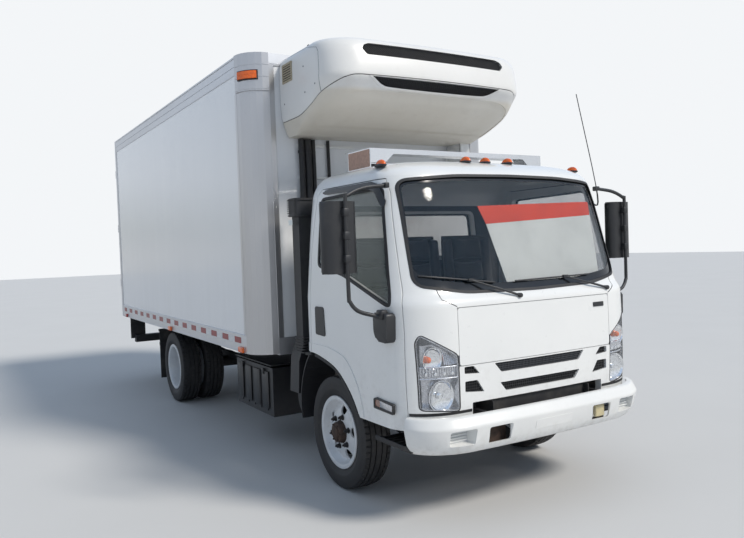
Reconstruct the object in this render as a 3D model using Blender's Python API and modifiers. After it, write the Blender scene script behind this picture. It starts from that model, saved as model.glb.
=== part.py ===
# A low-cab-forward truck with an insulated box body and a nose-mounted cooling unit.
# Metres, +X to the front, +Y to the left, +Z up. Every dimension along X is measured
# from the front axle, and the finished truck is shifted so that its box is centred.
from math import cos, pi, radians, sin, tau

import bmesh
import bpy
from mathutils import Matrix, Vector

# Overall lengths
FRONT_REACH = 1.22
REAR_REACH = 5.85
WHEELBASE = 3.81
SEAT_GAP = 0.0003
MOVING_GAP = 0.006
FAR = 4.0

# Wheels and axles. Heights are drawn with the axles at AXLE_HEIGHT, and the finished truck
# is set down on its tyres.
AXLE_HEIGHT = 0.405
TYRE_RADIUS = 0.405
CENTRE_SHIFT = Vector(((REAR_REACH - FRONT_REACH) / 2, 0.0, TYRE_RADIUS - AXLE_HEIGHT))
TYRE_WIDTH = 0.225
RIM_RADIUS = 0.262
FRONT_WHEEL_Y = 0.8325
DUAL_INNER_Y = 0.6915
DUAL_OUTER_Y = 0.9585
KINGPIN_Y = 0.70
KINGPIN_RADIUS = 0.018
KINGPIN_HEIGHT = 0.20
KINGPIN_SIDES = 16
SPINDLE_RADIUS = 0.030
REAR_SPINDLE_RADIUS = 0.045
PIN_CLEARANCE = 0.0004
REAR_AXLE_X = -WHEELBASE

# Ladder frame
FRAME_WIDTH = 0.85
RAIL_TOP = 0.84
RAIL_HEIGHT = 0.20
RAIL_FLANGE = 0.07
RAIL_SHEET = 0.007
RAIL_FRONT = 1.11
RAIL_REAR = -5.70
HORN_REAR = 1.035
HORN_TOP = 0.745
RAIL_BOTTOM = RAIL_TOP - RAIL_HEIGHT
CAB_MOUNT_REACH = 0.175

# Box body
BOX_FRONT = -0.79
FRONT_WALL_FACE = BOX_FRONT - 0.004
BOX_REAR = -5.756
BOX_HALF_WIDTH = 1.22
BOX_RAIL_BOTTOM = 0.89
BOX_RAIL_TOP = 1.04
BOX_FLOOR_TOP = 1.10
BOX_TOP = 3.30
WALL = 0.08
CORNER_RADIUS = 0.20
CAP_BOTTOM = 3.00
CAP_PROUD = 0.010

# Rear doors of the box
REAR_DOOR_THICKNESS = 0.075
REAR_POST_WIDTH = 0.12
REAR_FRAME_DEPTH = 0.085
REAR_HEADER_BOTTOM = 3.12
REAR_HINGE_STANDOFF = 0.045
REAR_HINGE_INSET = 0.015
REAR_HINGE_RADIUS = 0.012
REAR_PIN_RADIUS = 0.006

# Cab
CAB_REAR = -0.33
CAB_FRONT = 1.10
CAB_HALF_WIDTH = 1.01
CAB_SILL = 0.61
CAB_BELOW = CAB_SILL - 0.2
CAB_WALL = 0.05
CAB_ROOF_SEAM = 2.165
CAB_GLASS_INSET = 0.010
CAB_GLASS = 0.006
TUNNEL_HALF_WIDTH = FRAME_WIDTH / 2 + 0.025
TUNNEL_TOP = 1.08
TUNNEL_SHEET = 0.025
FLOOR_SHEET = 0.03
TILT_X = 1.12
TILT_Z = 0.66
TILT_TUBE_RADIUS = 0.020
TILT_LUG_Y = FRAME_WIDTH / 2 + 0.055
DOOR_FRONT = 0.942
DOOR_REAR = -0.21
DOOR_HINGE_X = 0.950
DOOR_HINGE_Y = 0.966
DOOR_SWEEP = 0.084
LID_HALF_WIDTH = 0.66
LID_BOTTOM = 0.99
LID_TOP = 1.34
LID_THICKNESS = 0.02
LID_FLANGE = 0.02
LID_HINGE_X = 1.110
LID_HINGE_Z = 1.346
STEERING_Y = 0.47

# Front bumper
BUMPER_TOP = 0.70
BUMPER_BOTTOM = 0.47
BUMPER_SHEET = 0.02
BUMPER_FLANGE_X = 1.17
BUMPER_END_X = DOOR_FRONT + 0.020
STEP_LENGTH = (0.56, 0.93)
STEP_HEIGHT = (0.48, 0.51)
STEP_INNER = 0.70
STEP_OUTER = 0.965
STEP_BRACKET = (0.66, 0.78)

# Cab outline by height, from the sill up to the crown of the roof
# height, rear x, front x, half width, corner depth, corner width
CAB_SECTIONS = (
    (0.610, -0.330, 1.095, 1.005, 0.30, 0.36),
    (1.000, -0.330, 1.105, 1.010, 0.30, 0.36),
    (1.360, -0.330, 1.098, 1.010, 0.30, 0.37),
    (1.440, -0.330, 1.048, 1.004, 0.27, 0.38),
    (1.600, -0.330, 1.002, 0.990, 0.25, 0.38),
    (2.100, -0.325, 0.862, 0.937, 0.22, 0.34),
    (2.180, -0.300, 0.835, 0.915, 0.22, 0.32),
    (2.240, -0.240, 0.760, 0.875, 0.25, 0.32),
    (2.280, -0.130, 0.650, 0.740, 0.25, 0.32),
    (2.305, 0.000, 0.500, 0.480, 0.20, 0.25),
    (2.315, 0.110, 0.370, 0.240, 0.10, 0.12),
)
CAB_REAR_CORNER = 0.10
CAB_BOW = 0.012

# Cooling unit outline by height
# height, front x, half width, corner depth, corner width
UNIT_SECTIONS = (
    (2.630, -0.450, 0.870, 0.20, 0.25),
    (2.700, -0.230, 0.900, 0.22, 0.27),
    (2.800, -0.020, 0.925, 0.24, 0.28),
    (2.900, 0.070, 0.930, 0.24, 0.28),
    (2.970, 0.125, 0.930, 0.24, 0.28),
    (3.130, 0.105, 0.930, 0.24, 0.28),
    (3.200, 0.080, 0.925, 0.24, 0.28),
    (3.240, 0.045, 0.905, 0.24, 0.28),
    (3.265, -0.040, 0.860, 0.22, 0.26),
    (3.290, -0.300, 0.760, 0.20, 0.24),
)

# Bumper outline by height
# height, front x, half width, corner depth, corner width
BUMPER_SECTIONS = (
    (0.470, 1.165, 0.955, 0.26, 0.36),
    (0.530, 1.195, 0.985, 0.26, 0.36),
    (0.640, 1.220, 1.000, 0.26, 0.36),
    (0.700, 1.185, 0.990, 0.26, 0.36),
)

# Wheel arch in side view
# x, z
ARCH = (
    (-0.36, 0.955),
    (-0.20, 0.968),
    (-0.03, 0.945),
    (0.15, 0.897),
    (0.285, 0.812),
    (0.387, 0.713),
    (0.459, 0.606),
)

# Colours: red, green, blue, roughness, metallic
FINISHES = {
    "white_paint": (0.85, 0.86, 0.86, 0.25, 0.0),
    "wheel_paint": (0.72, 0.72, 0.70, 0.40, 0.0),
    "frame_paint": (0.03, 0.03, 0.03, 0.60, 0.0),
    "black_plastic": (0.03, 0.03, 0.03, 0.50, 0.0),
    "black_rubber": (0.02, 0.02, 0.02, 0.80, 0.0),
    "aluminium": (0.70, 0.71, 0.72, 0.35, 1.0),
    "cast_grey": (0.60, 0.61, 0.62, 0.50, 0.6),
    "panel_white": (0.82, 0.83, 0.83, 0.30, 0.0),
    "unit_white": (0.84, 0.84, 0.83, 0.35, 0.0),
    "glass": (0.10, 0.12, 0.13, 0.05, 0.0),
    "lamp_clear": (0.85, 0.87, 0.88, 0.10, 0.2),
    "lamp_amber": (0.90, 0.30, 0.03, 0.15, 0.0),
    "grey_cloth": (0.18, 0.18, 0.19, 0.90, 0.0),
}

SIDES = (("left", 1), ("right", -1))


def start_scene():
    for item in list(bpy.data.objects):
        bpy.data.objects.remove(item)
    collections = []
    for name in ("refrigerated_truck", "cutters"):
        collection = bpy.data.collections.new(name)
        bpy.context.scene.collection.children.link(collection)
        collections.append(collection)
    return collections


PARTS, CUTTERS = start_scene()


def make_materials():
    made = {}
    for name, (red, green, blue, roughness, metallic) in FINISHES.items():
        material = bpy.data.materials.new(name)
        material.use_nodes = True
        shader = material.node_tree.nodes["Principled BSDF"]
        shader.inputs["Base Color"].default_value = (red, green, blue, 1.0)
        shader.inputs["Roughness"].default_value = roughness
        shader.inputs["Metallic"].default_value = metallic
        made[name] = material
    return made


MATERIALS = make_materials()


# Shapes

def shape(mesh, name="shape"):
    item = bpy.data.objects.new(name, mesh)
    CUTTERS.objects.link(item)
    item.hide_render = True
    item.display_type = "WIRE"
    return item


def from_bmesh(bm):
    mesh = bpy.data.meshes.new("shape")
    bm.to_mesh(mesh)
    bm.free()
    return shape(mesh)


def block(x_range, y_range, z_range):
    low = Vector((x_range[0], y_range[0], z_range[0]))
    high = Vector((x_range[1], y_range[1], z_range[1]))
    size = high - low
    matrix = Matrix.Translation((low + high) / 2) @ Matrix.Diagonal((*size, 1.0))
    bm = bmesh.new()
    bmesh.ops.create_cube(bm, size=1.0, matrix=matrix)
    return from_bmesh(bm)


def turn_to(axis):
    return Vector((0.0, 0.0, 1.0)).rotation_difference(Vector(axis)).to_matrix().to_4x4()


def rod(start, end, radius, sides=16, end_radius=None):
    start = Vector(start)
    end = Vector(end)
    span = end - start
    matrix = Matrix.Translation((start + end) / 2) @ turn_to(span)
    bm = bmesh.new()
    far_radius = radius if end_radius is None else end_radius
    bmesh.ops.create_cone(bm, cap_ends=True, segments=sides, radius1=radius,
                          radius2=far_radius, depth=span.length, matrix=matrix)
    return from_bmesh(bm)


def ball(centre, radii, sides=12, rings=8):
    matrix = Matrix.Translation(Vector(centre)) @ Matrix.Diagonal((*radii, 1.0))
    bm = bmesh.new()
    bmesh.ops.create_uvsphere(bm, u_segments=sides, v_segments=rings, radius=1.0, matrix=matrix)
    return from_bmesh(bm)


def settle(item):
    # The evaluated shape becomes a plain mesh, so that later cuts see all of it.
    bpy.context.view_layer.update()
    graph = bpy.context.evaluated_depsgraph_get()
    mesh = bpy.data.meshes.new_from_object(item.evaluated_get(graph))
    mesh.transform(item.matrix_world)
    bm = bmesh.new()
    bm.from_mesh(mesh)
    bmesh.ops.remove_doubles(bm, verts=bm.verts, dist=0.00001)
    bm.to_mesh(mesh)
    bm.free()
    bpy.data.objects.remove(item)
    return shape(mesh)


def curve_shape(curve, matrix=None):
    item = bpy.data.objects.new("curve", curve)
    CUTTERS.objects.link(item)
    if matrix is not None:
        item.matrix_world = matrix
    return settle(item)


PLANES = {
    "side": Matrix(((1, 0, 0, 0), (0, 0, -1, 0), (0, 1, 0, 0), (0, 0, 0, 1))),
    "front": Matrix(((0, 0, 1, 0), (1, 0, 0, 0), (0, 1, 0, 0), (0, 0, 0, 1))),
    "plan": Matrix.Identity(4),
}


def sheet(outline, plane, low, high):
    # A flat outline, extruded from low to high across its plane.
    curve = bpy.data.curves.new("outline", "CURVE")
    curve.dimensions = "2D"
    curve.fill_mode = "BOTH"
    curve.extrude = (high - low) / 2
    spline = curve.splines.new("POLY")
    spline.points.add(len(outline) - 1)
    for point, (a, b) in zip(spline.points, outline):
        point.co = (a, b, 0.0, 1.0)
    spline.use_cyclic_u = True
    middle = (low + high) / 2
    offset = {"side": (0, middle, 0), "front": (middle, 0, 0), "plan": (0, 0, middle)}[plane]
    return curve_shape(curve, Matrix.Translation(offset) @ PLANES[plane])


def tube(points, radius, rounds=2):
    curve = bpy.data.curves.new("tube", "CURVE")
    curve.dimensions = "3D"
    curve.bevel_depth = radius
    curve.bevel_resolution = rounds
    curve.use_fill_caps = True
    spline = curve.splines.new("POLY")
    spline.points.add(len(points) - 1)
    for point, place in zip(spline.points, points):
        point.co = (*place, 1.0)
    return curve_shape(curve)


def turned(profile, steps, centre, side=1):
    # A profile of (distance outwards, radius) pairs turned about the truck's cross axis.
    # It is closed into a ring unless it starts and ends on the axis.
    mesh = bpy.data.meshes.new("profile")
    points = [(radius, 0.0, along) for along, radius in profile]
    edges = [(i, i + 1) for i in range(len(points) - 1)]
    if profile[0][1] > 0:
        edges.append((len(points) - 1, 0))
    mesh.from_pydata(points, edges, [])
    item = shape(mesh)
    screw = item.modifiers.new("turn", "SCREW")
    screw.axis = "Z"
    screw.steps = steps
    screw.render_steps = steps
    screw.use_merge_vertices = True
    screw.merge_threshold = 0.00001
    item.matrix_world = Matrix.Translation(centre) @ turn_to((0, side, 0))
    return face_out(settle(item))


def face_out(item):
    bm = bmesh.new()
    bm.from_mesh(item.data)
    bmesh.ops.recalc_face_normals(bm, faces=bm.faces)
    bm.to_mesh(item.data)
    bm.free()
    return item


def loft(rings):
    # Closed rings with the same number of points, joined in turn and capped.
    bm = bmesh.new()
    rows = [[bm.verts.new(place) for place in ring] for ring in rings]
    for lower, upper in zip(rows, rows[1:]):
        for i in range(len(lower)):
            j = (i + 1) % len(lower)
            bm.faces.new((lower[i], lower[j], upper[j], upper[i]))
    bm.faces.new(list(reversed(rows[0])))
    bm.faces.new(rows[-1])
    bmesh.ops.recalc_face_normals(bm, faces=bm.faces)
    return from_bmesh(bm)


def boolean(target, others, operation):
    for other in others:
        step = target.modifiers.new(operation, "BOOLEAN")
        step.operation = operation
        step.solver = "EXACT"
        step.object = other
        target = settle(target)
        bpy.data.objects.remove(other)
    return target


def cut(target, *others):
    return boolean(target, others, "DIFFERENCE")


def join(target, *others):
    return boolean(target, others, "UNION")


def common(target, *others):
    return boolean(target, others, "INTERSECT")


def copy_of(item):
    return shape(item.data.copy())


def mirrored(item):
    # The same shape on the other side of the truck.
    twin = copy_of(item)
    twin.data.transform(Matrix.Diagonal((1, -1, 1, 1)))
    return face_out(twin)


def part(name, item, finish, origin=(0.0, 0.0, 0.0)):
    # The finished sub-part, its origin on its joint's axis.
    origin = Vector(origin)
    mesh = item.data
    bm = bmesh.new()
    bm.from_mesh(mesh)
    bmesh.ops.dissolve_limit(bm, angle_limit=radians(0.2), verts=bm.verts, edges=bm.edges)
    bm.to_mesh(mesh)
    bm.free()
    mesh.transform(Matrix.Translation(-origin))
    mesh.materials.clear()
    mesh.materials.append(MATERIALS[finish])
    mesh.shade_smooth()
    mesh.set_sharp_from_angle(angle=radians(35))
    bpy.data.objects.remove(item)
    made = bpy.data.objects.new(name, mesh)
    made.location = origin + CENTRE_SHIFT
    PARTS.objects.link(made)
    return made


# Outlines

def rounded(points, radius, steps=3):
    # The corners of an outline as arcs.
    result = []
    count = len(points)
    for i, (x, y) in enumerate(points):
        here = Vector((x, y))
        before = (Vector(points[i - 1]) - here)
        after = (Vector(points[(i + 1) % count]) - here)
        reach = min(radius, before.length * 0.45, after.length * 0.45)
        a = here + before.normalized() * reach
        b = here + after.normalized() * reach
        for k in range(steps + 1):
            t = k / steps
            spot = a * (1 - t) ** 2 + here * 2 * t * (1 - t) + b * t ** 2
            result.append((spot.x, spot.y))
    return result


def rectangle(a_range, b_range):
    (a0, a1), (b0, b1) = a_range, b_range
    return [(a0, b0), (a1, b0), (a1, b1), (a0, b1)]


def nose_ring(z, rear, front, half, depth, width, inset=0.0, rear_corner=0.05, bow=0.0, steps=6):
    # A plan outline: straight back and sides, elliptical front corners, a slightly bowed front.
    rear += inset
    front -= inset + bow
    half -= inset
    depth = max(depth - inset, 0.01)
    width = max(width - inset, 0.01)
    rear_corner = max(rear_corner - inset, 0.01)
    points = []
    for k in range(steps + 1):
        angle = pi / 2 * k / steps
        points.append((front - depth + depth * cos(angle), half - width + width * sin(angle)))
    for k in range(4):
        angle = pi / 2 + pi / 2 * k / 3
        points.append((rear + rear_corner + rear_corner * cos(angle),
                       half - rear_corner + rear_corner * sin(angle)))
    points += [(x, -y) for x, y in reversed(points)]
    flat = half - width
    for k in (1, 2, 3):
        y = -flat + 2 * flat * k / 4
        points.append((front + bow * (1 - (y / flat) ** 2), y))
    return [(x, y, z) for x, y in points]


def cab_solid(inset=0.0, bottom=None):
    rings = []
    for z, rear, front, half, depth, width in CAB_SECTIONS:
        if z > 2.0:
            z -= inset
        if not rings and bottom is not None:
            z = bottom
        rings.append(nose_ring(z, rear, front, half, depth, width, inset,
                               CAB_REAR_CORNER, CAB_BOW))
    return loft(rings)


def unit_solid(inset=0.0):
    rings = []
    for z, front, half, depth, width in UNIT_SECTIONS:
        rings.append(nose_ring(z, BOX_FRONT + SEAT_GAP, front, half, depth, width, inset,
                               0.02, 0.02))
    return loft(rings)


def bumper_solid(inset=0.0, lid=True):
    rings = []
    last = len(BUMPER_SECTIONS) - 1
    for i, (z, front, half, depth, width) in enumerate(BUMPER_SECTIONS):
        if inset and lid and i == last:
            z -= inset
        rings.append(nose_ring(z, 0.5, front, half, depth, width, inset, 0.05, 0.015))
    if inset:
        rings.insert(0, [(x, y, z - 0.1) for x, y, z in rings[0]])
    if not lid:
        rings.append([(x, y, z + 0.1) for x, y, z in rings[-1]])
    return loft(rings)


# Ladder frame

def frame_rail(side):
    outer = FRAME_WIDTH / 2
    inner = outer - RAIL_FLANGE
    web = outer - RAIL_SHEET
    top = RAIL_TOP
    low = RAIL_BOTTOM
    outline = [(outer, low), (outer, top), (inner, top), (inner, top - RAIL_SHEET),
               (web, top - RAIL_SHEET), (web, low + RAIL_SHEET), (inner, low + RAIL_SHEET),
               (inner, low)]
    if side < 0:
        outline = [(-y, z) for y, z in outline]
    return sheet(outline, "front", RAIL_REAR, RAIL_FRONT)


# Crossmembers between the rails
# x, half length along x, bottom, top
CROSSMEMBERS = (
    (-0.95, 0.040, 0.700, 0.820),
    (-1.90, 0.035, 0.700, 0.820),
    (-2.75, 0.035, 0.700, 0.820),
    (-3.22, 0.035, 0.700, 0.820),
    (-4.42, 0.035, 0.700, 0.820),
    (-5.15, 0.035, 0.700, 0.820),
    (-5.62, 0.035, 0.660, 0.820),
)


def frame():
    reach = FRAME_WIDTH / 2 - RAIL_SHEET / 2
    bars = [block((x - half, x + half), (-reach, reach), (low, high))
            for x, half, low, high in CROSSMEMBERS]
    front = block((1.00, 1.07), (-reach, reach), (0.655, HORN_TOP - 0.003))
    tube_end = TILT_LUG_Y + 0.060
    tilt_tube = rod((TILT_X, -tube_end, TILT_Z), (TILT_X, tube_end, TILT_Z), TILT_TUBE_RADIUS, 16)
    rails = [cut(frame_rail(side), block((HORN_REAR, FAR), (-FAR, FAR), (HORN_TOP, FAR)))
             for _, side in SIDES]
    mounts = []
    for _, side in SIDES:
        inner = FRAME_WIDTH / 2 - RAIL_FLANGE + 0.005
        outer = FRAME_WIDTH / 2 + CAB_MOUNT_REACH
        y_low, y_high = sorted((side * inner, side * outer))
        beam = block((-0.30, -0.22), (y_low, y_high), (RAIL_TOP - 0.002, 0.885))
        pad_low, pad_high = sorted((side * (outer - 0.10), side * outer))
        pad = block((-0.30, -0.22), (pad_low, pad_high), (0.87, 0.935))
        mounts += [beam, pad]
    return join(front, *rails, tilt_tube, *bars, *mounts)


# Bores: their flats clear the corners of the pin, so the pin turns

def bore_radius(pin_radius, sides):
    return (pin_radius + PIN_CLEARANCE) / cos(pi / sides)


# Leaf springs: a crescent with an eye at each end

def leaf_spring(x, y, half_length, eye_z, seat_z, thickness, width):
    top = []
    low = []
    for k in range(9):
        t = -1 + k / 4
        z = seat_z + (eye_z - seat_z) * t * t
        depth = thickness * (1 - 0.6 * abs(t))
        top.append((x + t * half_length, z + depth))
        low.append((x + t * half_length, z))
    outline = top + list(reversed(low))
    pieces = []
    for end in (-1, 1):
        eye_x = x + end * (half_length - 0.012)
        pieces.append(rod((eye_x, y - width / 2 - 0.004, eye_z + 0.012),
                          (eye_x, y + width / 2 + 0.004, eye_z + 0.012), 0.03, 8))
        pieces.append(block((eye_x - 0.022, eye_x + 0.022), (y - width / 2 + 0.006, y + width / 2 - 0.006),
                            (eye_z + 0.020, RAIL_BOTTOM - SEAT_GAP)))
    return join(sheet(outline, "side", y - width / 2, y + width / 2), *pieces)


FRONT_SPRING_Y = FRAME_WIDTH / 2 - 0.045
REAR_SPRING_Y = FRAME_WIDTH / 2 - 0.035
SPRING_WIDTH = 0.065
FRONT_SPRING_HALF = 0.62
REAR_SPRING_HALF = 0.68


def front_axle():
    half = KINGPIN_Y - 0.035
    z = AXLE_HEIGHT
    beam = sheet([(-half, z - 0.03), (-half, z + 0.03), (-0.50, z + 0.03), (-0.40, z - 0.03),
                  (0.40, z - 0.03), (0.50, z + 0.03), (half, z + 0.03), (half, z - 0.03),
                  (0.46, z - 0.04), (0.38, z - 0.11), (-0.38, z - 0.11), (-0.46, z - 0.04)],
                 "front", -0.045, 0.045)
    pieces = []
    for _, side in SIDES:
        y = side * KINGPIN_Y
        pieces.append(rod((0, y, z - 0.05), (0, y, z + 0.05), 0.045, 16))
        spring_y = side * FRONT_SPRING_Y
        pieces.append(leaf_spring(0.0, spring_y, FRONT_SPRING_HALF, 0.53, z - 0.045, 0.055,
                                  SPRING_WIDTH))
    axle = join(beam, *pieces)
    bores = [rod((0, side * KINGPIN_Y, 0.2), (0, side * KINGPIN_Y, 0.7),
                 bore_radius(KINGPIN_RADIUS, KINGPIN_SIDES), KINGPIN_SIDES) for _, side in SIDES]
    return cut(axle, *bores)


def rear_axle():
    z = AXLE_HEIGHT
    half = (DUAL_OUTER_Y + DUAL_INNER_Y) / 2 + 0.10
    right_half = [(-half, 0.0), (-half, REAR_SPINDLE_RADIUS), (-0.60, REAR_SPINDLE_RADIUS),
                  (-0.58, 0.062), (-0.24, 0.070), (-0.16, 0.15), (-0.06, 0.19)]
    profile = right_half + [(-along, radius) for along, radius in reversed(right_half)]
    housing = turned(profile, 12, (REAR_AXLE_X, 0, z))
    nose = rod((REAR_AXLE_X, 0, z), (REAR_AXLE_X + 0.30, 0, z + 0.02), 0.12, 12, 0.05)
    pieces = [nose]
    for _, side in SIDES:
        y = side * REAR_SPRING_Y
        pieces.append(leaf_spring(REAR_AXLE_X, y, REAR_SPRING_HALF, 0.55, z + 0.03, 0.09,
                                  SPRING_WIDTH))
    return join(housing, *pieces)


def powertrain():
    engine = block((-0.15, 0.62), (-0.29, 0.29), (0.50, 1.01))
    gearbox = rod((-0.10, 0, 0.66), (-0.75, 0, 0.62), 0.20, 12, 0.12)
    shaft_end = (REAR_AXLE_X + 0.31, 0.0, 0.43)
    shaft = rod((-0.70, 0, 0.62), shaft_end, 0.040, 12)
    radiator = block((0.60, 0.74), (-0.33, 0.33), (0.52, 1.02))
    feet = block((0.10, 0.20), (-0.352, 0.352), (RAIL_BOTTOM + RAIL_SHEET + SEAT_GAP, 0.70))
    return join(engine, gearbox, shaft, radiator, feet, *exhaust())


def exhaust():
    y = 0.62
    z = 0.60
    muffler = rod((-2.35, y, z), (-3.05, y, z), 0.11, 16)
    pipe = tube([(0.05, 0.24, 0.54), (-0.20, 0.31, 0.47), (-1.00, 0.30, 0.46), (-1.05, 0.40, 0.48),
                 (-1.12, 0.46, 0.56), (-2.20, 0.47, 0.60), (-2.30, 0.55, z), (-2.40, y, z)], 0.035)
    tail = tube([(-2.95, y, z), (-3.12, y, z), (-3.20, y + 0.08, z - 0.06),
                 (-3.22, 0.95, z - 0.10)], 0.035)
    strap = block((-2.72, -2.68), (FRAME_WIDTH / 2 + SEAT_GAP, y), (0.60, 0.72))
    return muffler, pipe, tail, strap


def battery_box():
    body = block((-1.98, -1.12), (-0.95, -0.52), (0.30, 0.72))
    ribs = [block((x - 0.012, x + 0.012), (-0.958, -0.94), (0.34, 0.68))
            for x in (-1.85, -1.70, -1.55, -1.40, -1.25)]
    brackets = [block((x - 0.03, x + 0.03), (-0.53, -FRAME_WIDTH / 2 - SEAT_GAP), (0.62, 0.74))
                for x in (-1.80, -1.30)]
    return join(body, *ribs, *brackets)


def fuel_tank():
    outline = rounded(rectangle((0.52, 0.98), (0.32, 0.74)), 0.09)
    body = sheet(outline, "front", -2.20, -1.15)
    straps = []
    for x in (-1.95, -1.40):
        band = sheet(rounded(rectangle((0.514, 0.986), (0.314, 0.746)), 0.09), "front",
                     x - 0.025, x + 0.025)
        arm = block((x - 0.025, x + 0.025), (FRAME_WIDTH / 2 + SEAT_GAP, 0.56), (0.66, 0.74))
        straps += [band, arm]
    cap = rod((-1.25, 0.93, 0.64), (-1.25, 1.03, 0.68), 0.04, 16)
    return join(body, *straps, cap)


def air_intake():
    canister = rod((-0.64, -0.88, 0.53), (-0.64, -0.54, 0.53), 0.13, 20)
    bend = [(-0.44, 2.00), (-0.44, 1.00), (-0.53, 0.86), (-0.56, 0.60), (-0.72, 0.60),
            (-0.68, 0.88), (-0.56, 1.05), (-0.56, 2.00)]
    duct = sheet(bend, "side", -0.97, -0.85)
    hood = sheet(rounded(rectangle((-0.58, -0.42), (-1.00, -0.84)), 0.04), "plan", 1.98, 2.12)
    stay = block((-0.62, -0.56), (-0.90, -FRAME_WIDTH / 2 - SEAT_GAP), (0.75, 0.79))
    return join(canister, duct, hood, stay)


def mudguard(side):
    radius = 0.49
    flare = 0.135
    arc = []
    for k in range(9):
        angle = radians(122 + 7 * k)
        reach = radius + flare * (1 - k / 8)
        arc.append((reach * cos(angle), AXLE_HEIGHT + reach * sin(angle)))
    shrink = 1 - 0.008 / radius
    inner = [(x * shrink, AXLE_HEIGHT + (z - AXLE_HEIGHT) * shrink) for x, z in reversed(arc)]
    low, high = sorted((side * 0.70, side * 0.98))
    guard = sheet(arc + inner, "side", low, high)
    stay_low, stay_high = sorted((side * (FRAME_WIDTH / 2 + SEAT_GAP), side * 0.75))
    return join(guard, block((-0.50, -0.455), (stay_low, stay_high), (0.66, 0.70)))


def mud_flaps():
    bar = block((-4.36, -4.32), (-1.08, 1.08), (0.60, RAIL_BOTTOM - SEAT_GAP))
    flaps = []
    for _, side in SIDES:
        low, high = sorted((side * 0.57, side * 1.08))
        flaps.append(block((-4.345, -4.335), (low, high), (0.20, 0.80)))
    return join(bar, *flaps)


def front_bumper():
    # The top flange and the ends stay in front of the tilting cab and of the doors.
    inside = common(bumper_solid(BUMPER_SHEET + 0.001, lid=False),
                    block((-FAR, BUMPER_FLANGE_X), (-FAR, FAR), (BUMPER_TOP - 0.03, FAR)))
    body = cut(bumper_solid(), bumper_solid(BUMPER_SHEET), inside,
               block((-FAR, BUMPER_END_X), (-FAR, FAR), (0.0, FAR)))
    cutters = []
    for _, side in SIDES:
        fog = rounded([(side * 0.36, 0.515), (side * 0.53, 0.515), (side * 0.53, 0.615),
                       (side * 0.36, 0.615)], 0.02)
        cutters.append(sheet(fog, "front", 1.15, 1.40))
    body = cut(body, *cutters)
    lamps = []
    for _, side in SIDES:
        low, high = sorted((side * 0.345, side * 0.545))
        lamps.append(block((1.165, 1.192), (low, high), (0.50, 0.63)))
        low, high = sorted((side * (FRAME_WIDTH / 2 - 0.060), side * (FRAME_WIDTH / 2 - 0.010)))
        lamps.append(block((0.92, 1.19), (low, high), (0.60, RAIL_BOTTOM - SEAT_GAP)))
        low, high = sorted((side * STEP_INNER, side * STEP_OUTER))
        lamps.append(block(STEP_LENGTH, (low, high), STEP_HEIGHT))
        low, high = sorted((side * (STEP_INNER + 0.010), side * FAR))
        tongue = block((STEP_LENGTH[1] - 0.020, BUMPER_END_X + 0.023), (low, high),
                       (STEP_HEIGHT[0] + 0.003, STEP_HEIGHT[1] - 0.003))
        lamps.append(common(tongue, bumper_solid(BUMPER_SHEET / 2)))
        low, high = sorted((side * STEP_INNER, side * (STEP_INNER + 0.020)))
        lamps.append(block(STEP_LENGTH, (low, high), (STEP_HEIGHT[0], STEP_HEIGHT[1] + 0.075)))
        low, high = sorted((side * (FRAME_WIDTH / 2 + SEAT_GAP), side * (STEP_INNER + 0.010)))
        lamps.append(block(STEP_BRACKET, (low, high), (STEP_HEIGHT[1] + 0.050, STEP_HEIGHT[1] + 0.080)))
        low, high = sorted((side * (FRAME_WIDTH / 2 + SEAT_GAP), side * (FRAME_WIDTH / 2 + 0.015)))
        lamps.append(block(STEP_BRACKET, (low, high), (STEP_HEIGHT[1] + 0.050, 0.74)))
    return join(body, *lamps)


# Box body

FRONT_SILL_TOP = 1.02
MARKER_LAMP_X = (-1.09, -3.27, -5.45)
LAMP_PROUD = 0.022


def box_floor():
    half = BOX_HALF_WIDTH
    rear = BOX_REAR + REAR_FRAME_DEPTH + SEAT_GAP
    inner = CORNER_RADIUS - WALL - SEAT_GAP
    corner_x = BOX_FRONT - CORNER_RADIUS
    corner_y = half - CORNER_RADIUS
    turns = [(corner_x + inner * cos(pi / 12 * k), corner_y + inner * sin(pi / 12 * k))
             for k in range(7)]
    outline = [(rear, -half + WALL)] + [(x, -y) for x, y in reversed(turns)] + turns
    outline += [(rear, half - WALL)]
    slab = sheet(outline, "plan", 0.975, BOX_FLOOR_TOP)
    pieces = []
    for _, side in SIDES:
        low, high = sorted((side * (half - WALL - 0.001), side * half))
        pieces.append(block((rear, corner_x - SEAT_GAP), (low, high),
                            (BOX_RAIL_BOTTOM, BOX_RAIL_TOP)))
        low, high = sorted((side * 0.35, side * 0.43))
        pieces.append(block((rear, BOX_FRONT - WALL), (low, high), (RAIL_TOP + SEAT_GAP, 0.98)))
        for x in MARKER_LAMP_X:
            low, high = sorted((side * (half - 0.01), side * (half + LAMP_PROUD)))
            pieces.append(block((x - 0.05, x + 0.05), (low, high), (0.895, 0.935)))
    x = BOX_FRONT - 0.25
    while x > BOX_REAR + 0.3:
        pieces.append(block((x - 0.03, x + 0.03), (-half + WALL, half - WALL),
                            (BOX_RAIL_BOTTOM + 0.01, 0.98)))
        x -= 0.50
    pieces.append(block((BOX_FRONT - CORNER_RADIUS + 0.02, BOX_FRONT),
                        (-corner_y + SEAT_GAP, corner_y - SEAT_GAP),
                        (BOX_RAIL_BOTTOM - 0.01, FRONT_SILL_TOP)))
    return join(slab, *pieces)


def box_side(side):
    low, high = sorted((side * (BOX_HALF_WIDTH - WALL + SEAT_GAP), side * (BOX_HALF_WIDTH - 0.004)))
    return block((BOX_REAR + REAR_FRAME_DEPTH + SEAT_GAP, BOX_FRONT - CORNER_RADIUS - SEAT_GAP),
                 (low, high), (BOX_RAIL_TOP + SEAT_GAP, BOX_TOP - WALL - SEAT_GAP))


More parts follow.
